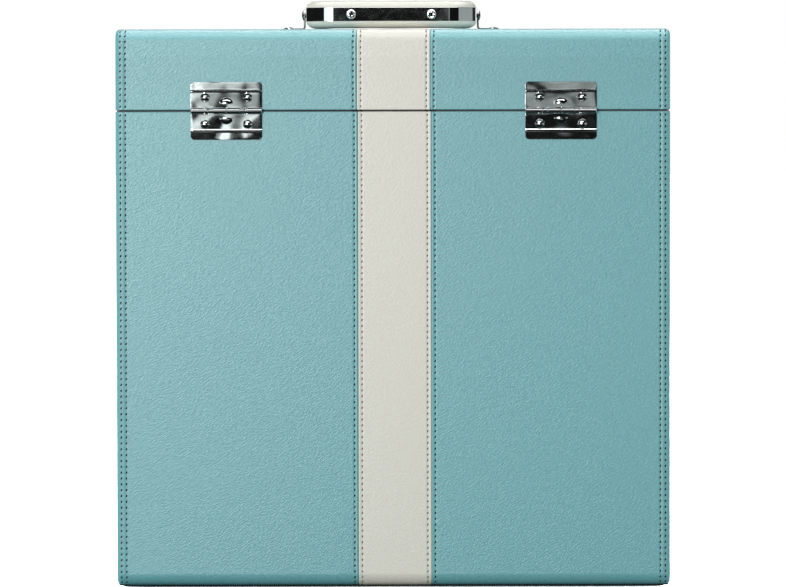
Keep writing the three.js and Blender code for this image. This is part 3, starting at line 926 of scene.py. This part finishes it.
def stopLug():
    bm = bmesh.new()
    bmesh.ops.create_uvsphere(bm, u_segments=40, v_segments=20, radius=1)
    bmesh.ops.scale(bm, vec=hinge["lugSize"], verts=bm.verts)
    planeCut(bm, 2, 0, 1)
    planeCut(bm, 1, hinge["lugBack"], -1)
    pointOut(bm)
    bmesh.ops.solidify(bm, geom=bm.faces[:], thickness=hinge["lugSheet"])
    roundSharp(bm, 50, hinge["lugEdge"])
    move(bm, Matrix.Translation((0, hingeOut, hinge["lugRise"])))
    return bm


def hingeLeaf(seed):
    bm = hingePlate(seed)
    append(bm, stopLug())
    append(bm, tube(*hinge["outerKnuckle"], hinge["knuckleRadius"]))
    append(bm, tube(*hinge["innerKnuckle"], hinge["knuckleRadius"]))
    append(bm, tube(*hinge["collar"], hinge["collarRadius"]))
    top = hinge["leafLow"] + hinge["tongueOverlap"]
    for low, high in (hinge["outerKnuckle"], (hinge["innerKnuckle"][0], hinge["collar"][1])):
        tongue = bmesh.new()
        addBlock(tongue, (low, hingeOut, 0), (high, -hinge["seat"], top))
        roundSharp(tongue, 60, hinge["tongueEdge"])
        append(bm, tongue)
    return bm


def hingePieces(side, seed):
    low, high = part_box(side + "_hinge_pin")
    centre = Vector(((low.x + high.x) / 2, caseLow.y, (low.z + high.z) / 2))
    for half, turn in (("lid", 0), ("body", math.pi)):
        body, name = halves[half]["body"], side + "_hinge_" + half
        leaf = hingeLeaf(seed + turn)
        move(leaf, Matrix.Translation(centre) @ Matrix.Rotation(turn, 4, "Y"))
        addPiece(leaf, name + "_leaf_plate", body, [name + "_leaf"], smooth=35)
        across, up = hinge["rivetPlace"]
        for end, way in (("left", -1), ("right", 1)):
            head = roundHead(*hinge["rivet"])
            rise = up if half == "lid" else -up
            move(head, facing((0, -1, 0), centre + Vector((way * across, hingeOut, rise))))
            addPiece(head, name + "_rivet_head_" + end, body, [name + "_rivet_" + end])
    reach, radius = high.x - (low.x + high.x) / 2, hinge["pinRadius"]
    (first, second), tip = hinge["pinEnd"], radius * 0.7
    pin = turned([
        (0, reach), (tip, reach - first), (radius, reach - second),
        (radius, second - reach), (tip, first - reach), (0, -reach),
    ], 24)
    move(pin, facing((1, 0, 0), centre + Vector((0, hingeAxis, 0))))
    addPiece(pin, side + "_hinge_pin_rod", "case_body", [side + "_hinge_pin"], [steel])


hingePieces("left", 2.3)
hingePieces("right", 4.4)
print("hinges made")


# Handle: a padded bail with a metal band let into its outer side.

grip = metres({
    "armWidth": 20,
    "outerCornerRadius": 18,
    "fingerCornerRadius": 6,
    "tipRadius": 7,
    "bandHeight": 8.8,
    "roundAcross": 6.3,
    "roundUp": 4.4,
    "crown": ((0.3, 0.04), (0.3, 0.02)),
    "skin": 1.1,
    "wrinkle": 0.16,
    "wrinkleStep": 4.6,
    "wrinkleStart": 0.2,
}) | {"roundSteps": 9, "wrinklesPerMetre": 70.0, "wrinkleCuts": 11}
band = metres({
    "thickness": 1.2,
    "edgeRadius": 0.2,
    "endPlay": 0.02,
    "screwSpacing": 51.2,
    "screwRadius": 3.0,
    "screwHeight": 0.8,
    "crossLength": 1.85,
    "crossWidth": 0.46,
    "crossDepth": 0.7,
}) | {
    "crossTurn": {"left": -15, "right": 55},
    # share of the radius out from the middle, and share of the height down from the top
    "headShape": ((0.82, 0.12), (0.93, 0.32), (1.0, 0.65), (1.0, 1.0), (0.5, 1.0)),
}
gripLow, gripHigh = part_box("handle_cover")
gripCentre = (gripLow + gripHigh) / 2
gripHalf = gripHigh.x - gripCentre.x
gripBack = gripLow.y + grip["armWidth"]
fingerHalf = gripHalf - grip["armWidth"]
gripPlace = Matrix.Translation((gripCentre.x, 0, gripCentre.z))


def gripCover():
    bm = bmesh.new()
    half = grip["bandHeight"] / 2
    addBar(bm, 2, -half, half, [
        (-gripHalf, gripHigh.y), (-gripHalf, gripLow.y), (gripHalf, gripLow.y),
        (gripHalf, gripHigh.y), (fingerHalf, gripHigh.y), (fingerHalf, gripBack),
        (-fingerHalf, gripBack), (-fingerHalf, gripHigh.y),
    ])

    def corner(x, y):
        return edgesAlong(bm, 2, lambda place: near(abs(place.x), x) and near(place.y, y))

    roundEdges(bm, corner(gripHalf, gripLow.y), grip["outerCornerRadius"], 14)
    roundEdges(bm, corner(fingerHalf, gripBack), grip["fingerCornerRadius"], 8)
    tips = corner(gripHalf, gripHigh.y) + corner(fingerHalf, gripHigh.y)
    roundEdges(bm, tips, grip["tipRadius"], 8)
    bm.normal_update()
    caps = pick(bm.faces, lambda f: abs(f.normal.z) > 0.9)
    rings = [
        (grip["roundAcross"] * inward, grip["roundUp"] * rise)
        for inward, rise in quarterSteps(grip["roundSteps"])
    ]
    for thickness, depth in rings + list(grip["crown"]):
        bmesh.ops.inset_region(
            bm, faces=caps, thickness=thickness, depth=depth, use_even_offset=True,
        )
    cuts = grip["wrinkleCuts"]
    for axis, last in ((0, cuts), (1, 1)):
        for k in range(-cuts, last + 1):
            planeCut(bm, axis, k * grip["wrinkleStep"])
    bmesh.ops.dissolve_degenerate(bm, dist=0.03 * mm, edges=bm.edges)
    bm.normal_update()
    for vert in bm.verts:
        if abs(vert.co.z) > half + grip["wrinkleStart"]:
            wobble = noise.noise(vert.co * grip["wrinklesPerMetre"])
            vert.co -= vert.normal * grip["wrinkle"] * (0.5 + wobble)
    # The band takes the place of the outer strip.
    strip = pick(bm.faces, lambda f: abs(f.normal.z) < 0.1 and f.normal.y < 0.01)
    strip = pick(strip, lambda f: f.normal.x * f.calc_center_median().x > -1e-9)
    bmesh.ops.delete(bm, geom=strip, context="FACES")
    bm.normal_update()
    bmesh.ops.solidify(bm, geom=bm.faces[:], thickness=grip["skin"])
    move(bm, gripPlace)
    piece = addPiece(
        bm, "handle_padded_cover", "handle", ["handle_cover"],
        [leathers["cream"]], smooth=60,
    )


def gripBand():
    half = grip["bandHeight"] / 2
    bm = bentSheet(
        2, half,
        [(-gripHalf, half), (-gripHalf, gripLow.y), (gripHalf, gripLow.y), (gripHalf, half)],
        lambda place: near(place.y, gripLow.y), (grip["outerCornerRadius"], 20),
        lambda place: near(place.y, half), (half - band["endPlay"], 8),
    )
    thicken(bm, (0, -1, 0), band["thickness"])
    roundSharp(bm, 60, band["edgeRadius"])
    move(bm, gripPlace)
    addPiece(bm, "handle_metal_band", "handle", ["handle_band"], smooth=30)


# A round head with a cross pressed into it.
def crossHead(radius, height):
    bm = bmesh.new()
    long, wide = band["crossLength"], band["crossWidth"]
    outline = []
    for turn in range(4):
        for x, y in ((long, wide), (wide, wide), (wide, long)):
            for _ in range(turn):
                x, y = -y, x
            outline.append((x, y))
    cross = bm.faces.new([bm.verts.new((x, y, 0)) for x, y in outline])
    inner = list(cross.edges)
    ring = bmesh.ops.create_circle(bm, cap_ends=False, segments=24, radius=radius * 0.68)["verts"]
    edges = list({e for v in ring for e in v.link_edges})
    bmesh.ops.bridge_loops(bm, edges=inner + edges)
    for reach, drop in band["headShape"]:
        edges, verts = growEdges(bm, edges)
        for vert in verts:
            flat = Vector((vert.co.x, vert.co.y, 0)).normalized() * radius * reach
            vert.co = Vector((flat.x, flat.y, -height * drop))
    bmesh.ops.holes_fill(bm, edges=edges, sides=0)
    pointOut(bm)
    for face in bm.faces:
        slanted = abs(face.normal.z) < 0.9 and face.calc_center_median().length > radius * 0.7
        face.material_index = int(slanted or face == cross)
    sunk = vertsOf(bmesh.ops.extrude_face_region(bm, geom=[cross])["geom"])
    bmesh.ops.translate(bm, vec=(0, 0, -band["crossDepth"]), verts=sunk)
    bmesh.ops.scale(bm, vec=(0.7, 0.7, 1), verts=sunk)
    bmesh.ops.remove_doubles(bm, verts=bm.verts, dist=1e-7)
    pointOut(bm)
    move(bm, Matrix.Translation((0, 0, height)))
    return bm


def bandScrews():
    for end, way in (("left", -1), ("right", 1)):
        head = crossHead(band["screwRadius"], band["screwHeight"])
        place = (gripCentre.x + way * band["screwSpacing"] / 2, gripLow.y, gripCentre.z)
        turn = Matrix.Rotation(math.radians(band["crossTurn"][end]), 4, "Z")
        move(head, facing((0, -1, 0), place) @ turn)
        node = "handle_band_screw_" + end
        addPiece(
            head, node + "_head", "handle", [node], materials=[chrome, wornChrome], smooth=30,
        )


gripCover()
gripBand()
bandScrews()
print("handle made")


# Handle brackets: bent strips riveted to the lid, with the handle's pivots through them.

bracket = metres({
    "clearance": 0.8,
    "seat": 0.1,
    "thickness": 1.1,
    "width": 8,
    "bendRadius": 2.3,
    "footLength": 14,
    "edgeRadius": 0.2,
    "endPlay": 0.02,
    "rivetReach": 10.6,
    # radius, height, height of the rim and depth of the shank
    "rivet": (2.8, 0.7, 0.2, 4),
    "pivot": (3.5, 1.3, 0.3, 6),
})


def bracketPieces(side, degrees):
    foot = caseHigh.z + bracket["seat"] - gripCentre.z
    half = bracket["width"] / 2
    inner = gripHalf + bracket["clearance"]
    end = inner + bracket["footLength"]
    strip = bentSheet(
        1, half, [(inner, half), (inner, foot), (end, foot)],
        lambda place: near(place.x, inner) and near(place.z, foot), (bracket["bendRadius"], 8),
        lambda place: near(place.z, half) or near(place.x, end), (half - bracket["endPlay"], 8),
    )
    thicken(strip, (-1, 0, 0), bracket["thickness"])
    roundSharp(strip, 60, bracket["edgeRadius"])
    pivot = roundHead(*bracket["pivot"])
    move(pivot, facing((1, 0, 0), (inner + bracket["thickness"], 0, 0)))
    rivet = roundHead(*bracket["rivet"])
    spot = (inner + bracket["rivetReach"], 0, foot + bracket["thickness"])
    move(rivet, facing((0, 0, 1), spot))
    node = "handle_" + side
    # The strip and the pivot take the darkened chrome, whose colour is painted shade.
    for bm, name, replaced, plating, smooth in (
        (strip, "_bracket_strip", "_bracket", shadedChrome, 35),
        (pivot, "_pivot_head", "_pivot_screw", shadedChrome, 40),
        (rivet, "_bracket_rivet_head", "_bracket_rivet", chrome, 40),
    ):
        move(bm, gripPlace @ Matrix.Rotation(math.radians(degrees), 4, "Z"))
        addPiece(bm, node + name, "lid", [node + replaced], materials=[plating], smooth=smooth)


bracketPieces("left", 180)
bracketPieces("right", 0)
print("brackets made")


# Latches, drawn from the seam: y is out from the case's front and z is up.

latch = metres({
    "halfWidth": 20,
    "seat": 0.1,
    "sheet": 1.0,
    "cornerRadius": 2.3,
    "edgeRadius": 0.22,
    "partEdge": 0.12,
    "plateEdge": 0.15,
    "foot": 0.6,
    "base": (-38, -8),
    "keeper": (3, 19),
    "pivot": (5, -16),
    "cheekRadius": 3,
    "cheek": (10, 11),
    "flange": (11.3, 12.3),
    "flangePlay": (0.02, 0.03),
    "stubRadius": 1.25,
    "stub": (10.5, 12.7),
    "leverEnd": -38,
    "plateTop": -24.5,
    "waist": -28,
    "curlRadius": 3,
    "roundPlay": 0.01,
    "tipRadius": 3,
    "clawPivot": (3.958, -21.909),
    "clawThickness": 1.2,
    "clawHalfWidth": 8.5,
    "clawBend": 1.0,
    "bossRadius": 2,
    "rodRadius": 1.1,
    "hook": (1.608, 7.95, 9.45),
    "shelf": (3.008, 6.0, 7.6),
    "shelfHalfWidth": 9.5,
    "shelfCorner": 0.3,
    "rivet": (2.2, 1.0, 0.2, 0.5),
    "baseRivets": ((16.2, -12), (16.2, -34)),
    "keeperRivets": ((14.8, 11.5),),
})


def latchSheet(low, high):
    half, back = latch["halfWidth"], latch["seat"]
    front = back + latch["sheet"]
    bm = bmesh.new()
    addBar(bm, 1, back, front, [(-half, low), (half, low), (half, high), (-half, high)])
    roundEdges(bm, edgesAlong(bm, 1), latch["cornerRadius"], 8)
    bm.normal_update()
    rim = pick(bm.edges, lambda e: near(middle(e).y, front))
    roundEdges(bm, rim, latch["edgeRadius"], 3)
    return bm


def rod(centre, radius, low, high):
    neck = radius * 0.7
    ease = radius - neck
    part = turned([
        (0, high), (neck, high), (radius, high - ease),
        (radius, low + ease), (neck, low), (0, low),
    ], 24)
    move(part, facing((1, 0, 0), (0, *centre)))
    return part


def latchBase():
    bm = latchSheet(*latch["base"])
    (pivotY, pivotZ), radius = latch["pivot"], latch["cheekRadius"]
    top = pivotY + radius
    for way in (-1, 1):
        low, high = sorted(way * place for place in latch["cheek"])
        cheek = bmesh.new()
        addBlock(cheek, (low, latch["foot"], pivotZ - radius), (high, top, pivotZ + radius))
        tips = edgesAlong(cheek, 0, lambda place: near(place.y, top))
        roundEdges(cheek, tips, radius - latch["roundPlay"], 10)
        roundSharp(cheek, 60, latch["partEdge"])
        append(bm, cheek)
        ends = sorted(way * place for place in latch["stub"])
        append(bm, rod(latch["pivot"], latch["stubRadius"], *ends))
    return bm


def latchLever():
    (pivotY, pivotZ), radius = latch["pivot"], latch["cheekRadius"]
    face, end, curl = pivotY + radius, latch["leverEnd"], latch["curlRadius"]
    tip, top = face + curl, pivotZ + radius
    bm = bentSheet(
        0, latch["flange"][1], [(face, latch["plateTop"]), (face, end - curl), (tip, end - curl)],
        lambda place: near(place.y, face) and place.z < end, (curl - latch["roundPlay"], 12),
        lambda place: near(place.y, tip), (latch["tipRadius"], 6),
    )
    thicken(bm, (0, 1, 0), latch["sheet"])
    roundSharp(bm, 60, latch["plateEdge"])
    back = pivotY - radius
    sidePlay, facePlay = latch["flangePlay"]
    for way in (-1, 1):
        low, high = sorted((way * latch["flange"][0], way * (latch["flange"][1] - sidePlay)))
        flange = bmesh.new()
        addBar(flange, 0, low, high, [
            (back, top), (face - facePlay, top), (face - facePlay, end),
            (face - latch["sheet"], end), (back, latch["waist"]),
        ])
        tops = edgesAlong(flange, 0, lambda place: near(place.z, top))
        roundEdges(flange, tops, radius - facePlay, 10)
        roundSharp(flange, 60, latch["partEdge"])
        append(bm, flange)
    return bm


def latchClaw():
    y, z = latch["clawPivot"]
    back, front = y - latch["clawThickness"] / 2, y + latch["clawThickness"] / 2
    tip, under, top = latch["hook"]
    width, end = latch["clawHalfWidth"], latch["stub"][1]
    bm = bmesh.new()
    addBar(bm, 0, -width, width, [
        (back, z), (front, z), (front, top), (tip, top), (tip, under), (back, under),
    ])
    bend = edgesAlong(bm, 0, lambda place: near(place.y, front) and near(place.z, top))
    roundEdges(bm, bend, latch["clawBend"], 6)
    roundSharp(bm, 50, latch["plateEdge"])
    append(bm, rod(latch["clawPivot"], latch["bossRadius"], -width, width))
    append(bm, rod(latch["clawPivot"], latch["rodRadius"], -end, end))
    return bm


def latchKeeper():
    bm = latchSheet(*latch["keeper"])
    edge, low, high = latch["shelf"]
    half = latch["shelfHalfWidth"]
    shelf = bmesh.new()
    addBlock(shelf, (-half, latch["foot"], low), (half, edge, high))
    roundEdges(shelf, edgesAlong(shelf, 1), latch["shelfCorner"], 3)
    roundSharp(shelf, 60, latch["plateEdge"])
    append(bm, shelf)
    return bm


def latchRivets(spots):
    bm = bmesh.new()
    for across, up in spots:
        for way in (-1, 1):
            head = roundHead(*latch["rivet"], 24, 5)
            move(head, facing((0, 1, 0), (way * across, latch["seat"] + latch["sheet"], up)))
            append(bm, head)
    return bm


def latchPieces(side):
    low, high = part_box(side + "_latch_keeper")
    seam = (bodyTop + lidBottom) / 2
    for name, bm, body in (
        ("base", latchBase(), "case_body"),
        ("keeper", latchKeeper(), "lid"),
        ("lever", latchLever(), side + "_lever"),
        ("claw", latchClaw(), side + "_claw"),
        ("base_rivets", latchRivets(latch["baseRivets"]), "case_body"),
        ("keeper_rivets", latchRivets(latch["keeperRivets"]), "lid"),
    ):
        move(bm, Matrix.Translation(((low.x + high.x) / 2, caseHigh.y, seam)))
        node = side + "_latch_" + name
        replaced = [node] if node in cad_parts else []
        addPiece(bm, node + "_metal", body, replaced, smooth=35)


latchPieces("left")
latchPieces("right")
print("latches made")


# Studio

studio = {
    "cameraPlace": (-0.0001, -3.585, 0.320),
    "aim": (-0.0001, 0.0, 0.1818),
    "lens": 254.05,
    "cameraRoll": -0.1,
    "ambient": 0.46,
    "floorSize": 30.0,
    "floorBrightness": 4.0,
    "mirroredFloor": 0.6,
    "plainFloor": 0.4,
    # The floor's painted contact shadow: how far it reaches, where it narrows past the case's ends,
    # and its tones.
    "paintedShadowReach": (0.028, 0.001),
    "paintedShadowEnd": (0.165, 0.171),
    "paintedShadowTones": (0.6, 0.88, 0.01, 1.0),
    "boardDistance": 4.2,
    "nearBoardDistance": 4.0,
    "boardCentre": 0.33,
    "boardStep": math.radians(8),
    "boardTint": (0.9, 1.0, 0.98, 1),
    "white": (1, 1, 1, 1),
    "clothRise": 0.0004,
    "clouds": (0.3, 0.7, 0.4, 1.6),
}

# name, place, aim, size, power, and whether polished parts mirror it
lamps = [
    ("keyLamp", (-0.95, -3.2, 0.75), (0, 0, 0.15), 1.0, 67.0, True),
    ("rightLamp", (2.8, 0.5, 0.7), (0, 0, 0.2), 1.2, 44.0, False),
    ("leftLamp", (-2.8, 0.4, 0.7), (0, 0, 0.15), 1.2, 44.0, False),
    ("backLamp", (-1.2, 2.8, 1.0), (0, 0, 0.2), 1.5, 70.0, False),
]

# Boards that only reflections see, on a ball round the case: name, degrees round from the
# camera, degrees up, brightness.
boards = [
    ("darkFrontBoard", (-5.5, 43), (-8, 28), 0.007),
    ("darkHighLeftBoard", (-51, -5.5), (7, 28), 0.02),
    ("darkLowLeftBoard", (-51, -5.5), (-8, -4), 0.02),
    ("whiteLeftBoard", (-51, -20), (-4, 7), 1.3),
    ("darkLeftBoard", (-165, -51), (-8, 52), 0.02),
    ("greyRightBoard", (43, 117), (-4, 8), 0.38),
    ("darkHighRightBoard", (43, 117), (8, 40), 0.03),
    ("darkRightBoard", (117, 150), (-8, 52), 0.03),
]
# White ones overhead.
brightBoards = [
    ("highSoftBoard", (-51, 43), (28, 52), 4.0),
    ("overheadBoard", (-90, 90), (52, 84), 6.0),
    ("backSoftBoard", (90, 270), (50, 80), 7.5),
]
# One in front of the others, pale on the left, dark in the middle and grey high on the right, and
# one like it behind the case, for the latches: name, degrees round, degrees up, and the tones.
softBoards = [
    ("softFrontBoard", (-12, 7), (-8, 16), {
        "lean": 0.15,
        "palePlace": (-0.315, -0.215),
        "pale": 0.85,
        "greyPlace": (0.08, 0.16),
        "greyEnd": (0.30, 0.42),
        "greyRise": (0.14, 0.42),
        "grey": 0.36,
        "cloudsPerMetre": 3.6,
        "dark": 0.008,
    }),
    ("softBackBoard", (165, 195), (-8, 50), {
        "lean": 0.0,
        "palePlace": (-0.6, 0.3),
        "pale": 0.55,
        "greyPlace": (0.1, 0.45),
        "greyEnd": (1.5, 2.0),
        "greyRise": (-0.2, 0.5),
        "grey": 0.3,
        "cloudsPerMetre": 2.6,
        "dark": 0.16,
    }),
]
# Flags that only reflections see: name, the axis they face, the place along it, low and high corner,
# brightness. They keep the light overhead out of the hinges and the key light out of the bracket.
flags = [
    ("nearFlag", 2, 0.335, (-0.2, -0.119), (0.2, -0.0855), 0.01),
    ("farFlag", 2, 0.335, (-0.2, -0.24), (0.2, -0.1325), 0.01),
    ("sideFlag", 0, -0.0625, (-0.07, 0.345), (-0.008, 0.385), 0.01),
]
# Cloths on the floor that only reflections see.
cloths = [
    ("nearFrontCloth", (-1.6, -0.9), (1.6, -0.0805), 0.01),
    ("leftFrontCloth", (-1.6, -1.6), (-1.0, -0.9), 0.02),
    ("midFrontCloth", (-1.0, -1.6), (0.35, -0.9), 0.3),
    ("rightFrontCloth", (0.35, -1.6), (1.6, -0.9), 0.02),
    ("farFrontCloth", (-2.2, -4.6), (2.2, -1.6), 0.02),
    ("nearFarCloth", (-1.6, 0.12), (1.6, 0.9), 0.12),
    ("farFarCloth", (-2.2, 1.6), (2.2, 4.6), 0.25),
]


def aimed(thing, place, aim):
    thing.location = place
    thing.rotation_mode = "QUATERNION"
    thing.rotation_quaternion = (Vector(aim) - Vector(place)).to_track_quat("-Z", "Y")


def makeCamera():
    data = bpy.data.cameras.new("camera")
    data.lens = studio["lens"]
    data.sensor_width = 36
    data.clip_end = 100
    camera = addObject("camera", data)
    aimed(camera, studio["cameraPlace"], studio["aim"])
    roll = Matrix.Rotation(math.radians(studio["cameraRoll"]), 3, "Z").to_quaternion()
    camera.rotation_quaternion = camera.rotation_quaternion @ roll
    bpy.context.scene.camera = camera


def makeLamps():
    for name, place, aim, size, power, mirrored in lamps:
        data = bpy.data.lights.new(name, "AREA")
        data.shape = "RECTANGLE"
        data.size = data.size_y = size
        data.energy = power
        lamp = addObject(name, data)
        lamp.visible_glossy = mirrored
        aimed(lamp, place, aim)


def seenDirectly(tree):
    path = addNode(tree, "ShaderNodeLightPath")
    seen = mathOf(tree, "MAXIMUM", path.outputs["Is Camera Ray"], path.outputs["Is Glossy Ray"])
    return mathOf(tree, "MAXIMUM", seen, path.outputs["Is Transmission Ray"])


def makeWorld():
    world = bpy.data.worlds.new("studio")
    bpy.context.scene.world = world
    world.use_nodes = True
    tree = world.node_tree
    strength = rangeOf(tree, seenDirectly(tree), 0, 1, studio["ambient"], 1)
    setInputs(tree, tree.nodes["Background"], {"Color": studio["white"], "Strength": strength})


# A stage object and the node tree of its material.
def bareObject(bm, name):
    thing = addObject(name, meshOf(bm, name))
    material, tree, shader = startMaterial(name)
    tree.nodes.remove(shader)
    thing.data.materials.append(material)
    return thing, tree


def makeFloor():
    bm = bmesh.new()
    bmesh.ops.create_grid(bm, x_segments=2, y_segments=2, size=studio["floorSize"] / 2)
    floor, tree = bareObject(bm, "floor")
    # The floor's colour is darkened near the case by ambient occlusion: a painted contact shadow,
    # narrowed past the case's ends.
    spot = addNode(tree, "ShaderNodeSeparateXYZ", {"Vector": objectPlace(tree)})
    across = mathOf(tree, "ABSOLUTE", spot.outputs["X"], 0.0)
    reach = rangeOf(tree, across, *studio["paintedShadowEnd"], *studio["paintedShadowReach"])
    paintedShadow = addNode(tree, "ShaderNodeAmbientOcclusion", {"Distance": reach}, samples=16)
    level = rangeOf(tree, paintedShadow.outputs["AO"], *studio["paintedShadowTones"])
    camera = addNode(tree, "ShaderNodeLightPath").outputs["Is Camera Ray"]
    plain, low, high = (
        scaled(studio["white"], studio[name])
        for name in ("plainFloor", "mirroredFloor", "floorBrightness")
    )
    white = mixColours(tree, camera, low, high)
    toned = mixColours(tree, level, scaled(studio["white"], 0), white)
    shaders = [
        addNode(tree, "ShaderNodeBsdfDiffuse", {"Color": colour}).outputs["BSDF"]
        for colour in (plain, toned)
    ]
    inputs = dict(enumerate([seenDirectly(tree), *shaders]))
    mixer = addNode(tree, "ShaderNodeMixShader", inputs)
    tree.links.new(mixer.outputs["Shader"], tree.nodes["Material Output"].inputs["Surface"])


def softLevel(tree, look):
    place = objectPlace(tree)
    spot = addNode(tree, "ShaderNodeSeparateXYZ", {"Vector": place})
    across, rise = spot.outputs["X"], spot.outputs["Z"]
    leaning = mathOf(tree, "SUBTRACT", across, mathOf(tree, "MULTIPLY", rise, look["lean"]))
    pale = rangeOf(tree, leaning, *look["palePlace"], look["pale"], 0.0)
    grey = rangeOf(tree, across, *look["greyPlace"], 0.0, look["grey"])
    high = rangeOf(tree, rise, *look["greyRise"], 0.0, 1.0)
    inside = rangeOf(tree, across, *look["greyEnd"], 1.0, 0.0)
    for value in (pale, grey, high, inside):
        value.node.interpolation_type = "SMOOTHSTEP"
    grey = mathOf(tree, "MULTIPLY", grey, inside)
    both = mathOf(tree, "ADD", pale, mathOf(tree, "MULTIPLY", grey, high))
    clouds = rangeOf(tree, noiseOf(tree, place, look["cloudsPerMetre"]), *studio["clouds"])
    return mathOf(tree, "ADD", mathOf(tree, "MULTIPLY", both, clouds), look["dark"])


def reflectedOnly(bm, name, level, tint=studio["boardTint"]):
    board, tree = bareObject(bm, name)
    board.data.materials[0].cycles.emission_sampling = "NONE"
    strength = softLevel(tree, level) if isinstance(level, dict) else level
    glow = addNode(tree, "ShaderNodeEmission", {"Color": tint, "Strength": strength})
    tree.links.new(glow.outputs["Emission"], tree.nodes["Material Output"].inputs["Surface"])
    for ray in ("camera", "diffuse", "shadow", "transmission"):
        setattr(board, "visible_" + ray, False)


def makeBoard(name, around, up, level, distance=studio["boardDistance"], tint=studio["boardTint"]):
    start, end = (math.radians(degrees) for degrees in around)
    low, high = (math.radians(degrees) for degrees in up)
    first = Matrix.Rotation(start, 3, "Z") @ Vector((0, -distance, 0))
    side = Vector((math.cos(start), math.sin(start), 0))
    steps, turns = (
        max(1, math.ceil(angle / studio["boardStep"])) for angle in (high - low, end - start)
    )
    bm = bmesh.new()
    verts = [
        bm.verts.new(Matrix.Rotation(-low - (high - low) * k / steps, 3, side) @ first)
        for k in range(steps + 1)
    ]
    edges = [bm.edges.new(pair) for pair in zip(verts, verts[1:])]
    bmesh.ops.spin(
        bm, geom=verts + edges, cent=(0, 0, 0), axis=(0, 0, 1), angle=end - start,
        steps=turns, use_duplicate=False,
    )
    bmesh.ops.remove_doubles(bm, verts=bm.verts, dist=1e-5)
    bmesh.ops.translate(bm, vec=(0, 0, studio["boardCentre"]), verts=bm.verts)
    reflectedOnly(bm, name, level, tint)


def makeCard(name, axis, place, low, high, level):
    bm = bmesh.new()
    corners = (low, (high[0], low[1]), high, (low[0], high[1]))
    bm.faces.new([bm.verts.new(pointOn(axis, place, corner)) for corner in corners])
    reflectedOnly(bm, name, level)


def makeBoards():
    for board in boards:
        makeBoard(*board)
    for board in brightBoards:
        makeBoard(*board, tint=studio["white"])
    for board in softBoards:
        makeBoard(*board, studio["nearBoardDistance"])
    for flag in flags:
        makeCard(*flag)
    for name, low, high, level in cloths:
        makeCard(name, 2, studio["clothRise"], low, high, level)


makeCamera()
makeWorld()
makeFloor()
makeLamps()
makeBoards()
bpy.context.scene.view_settings.view_transform = "Standard"
print("studio made")
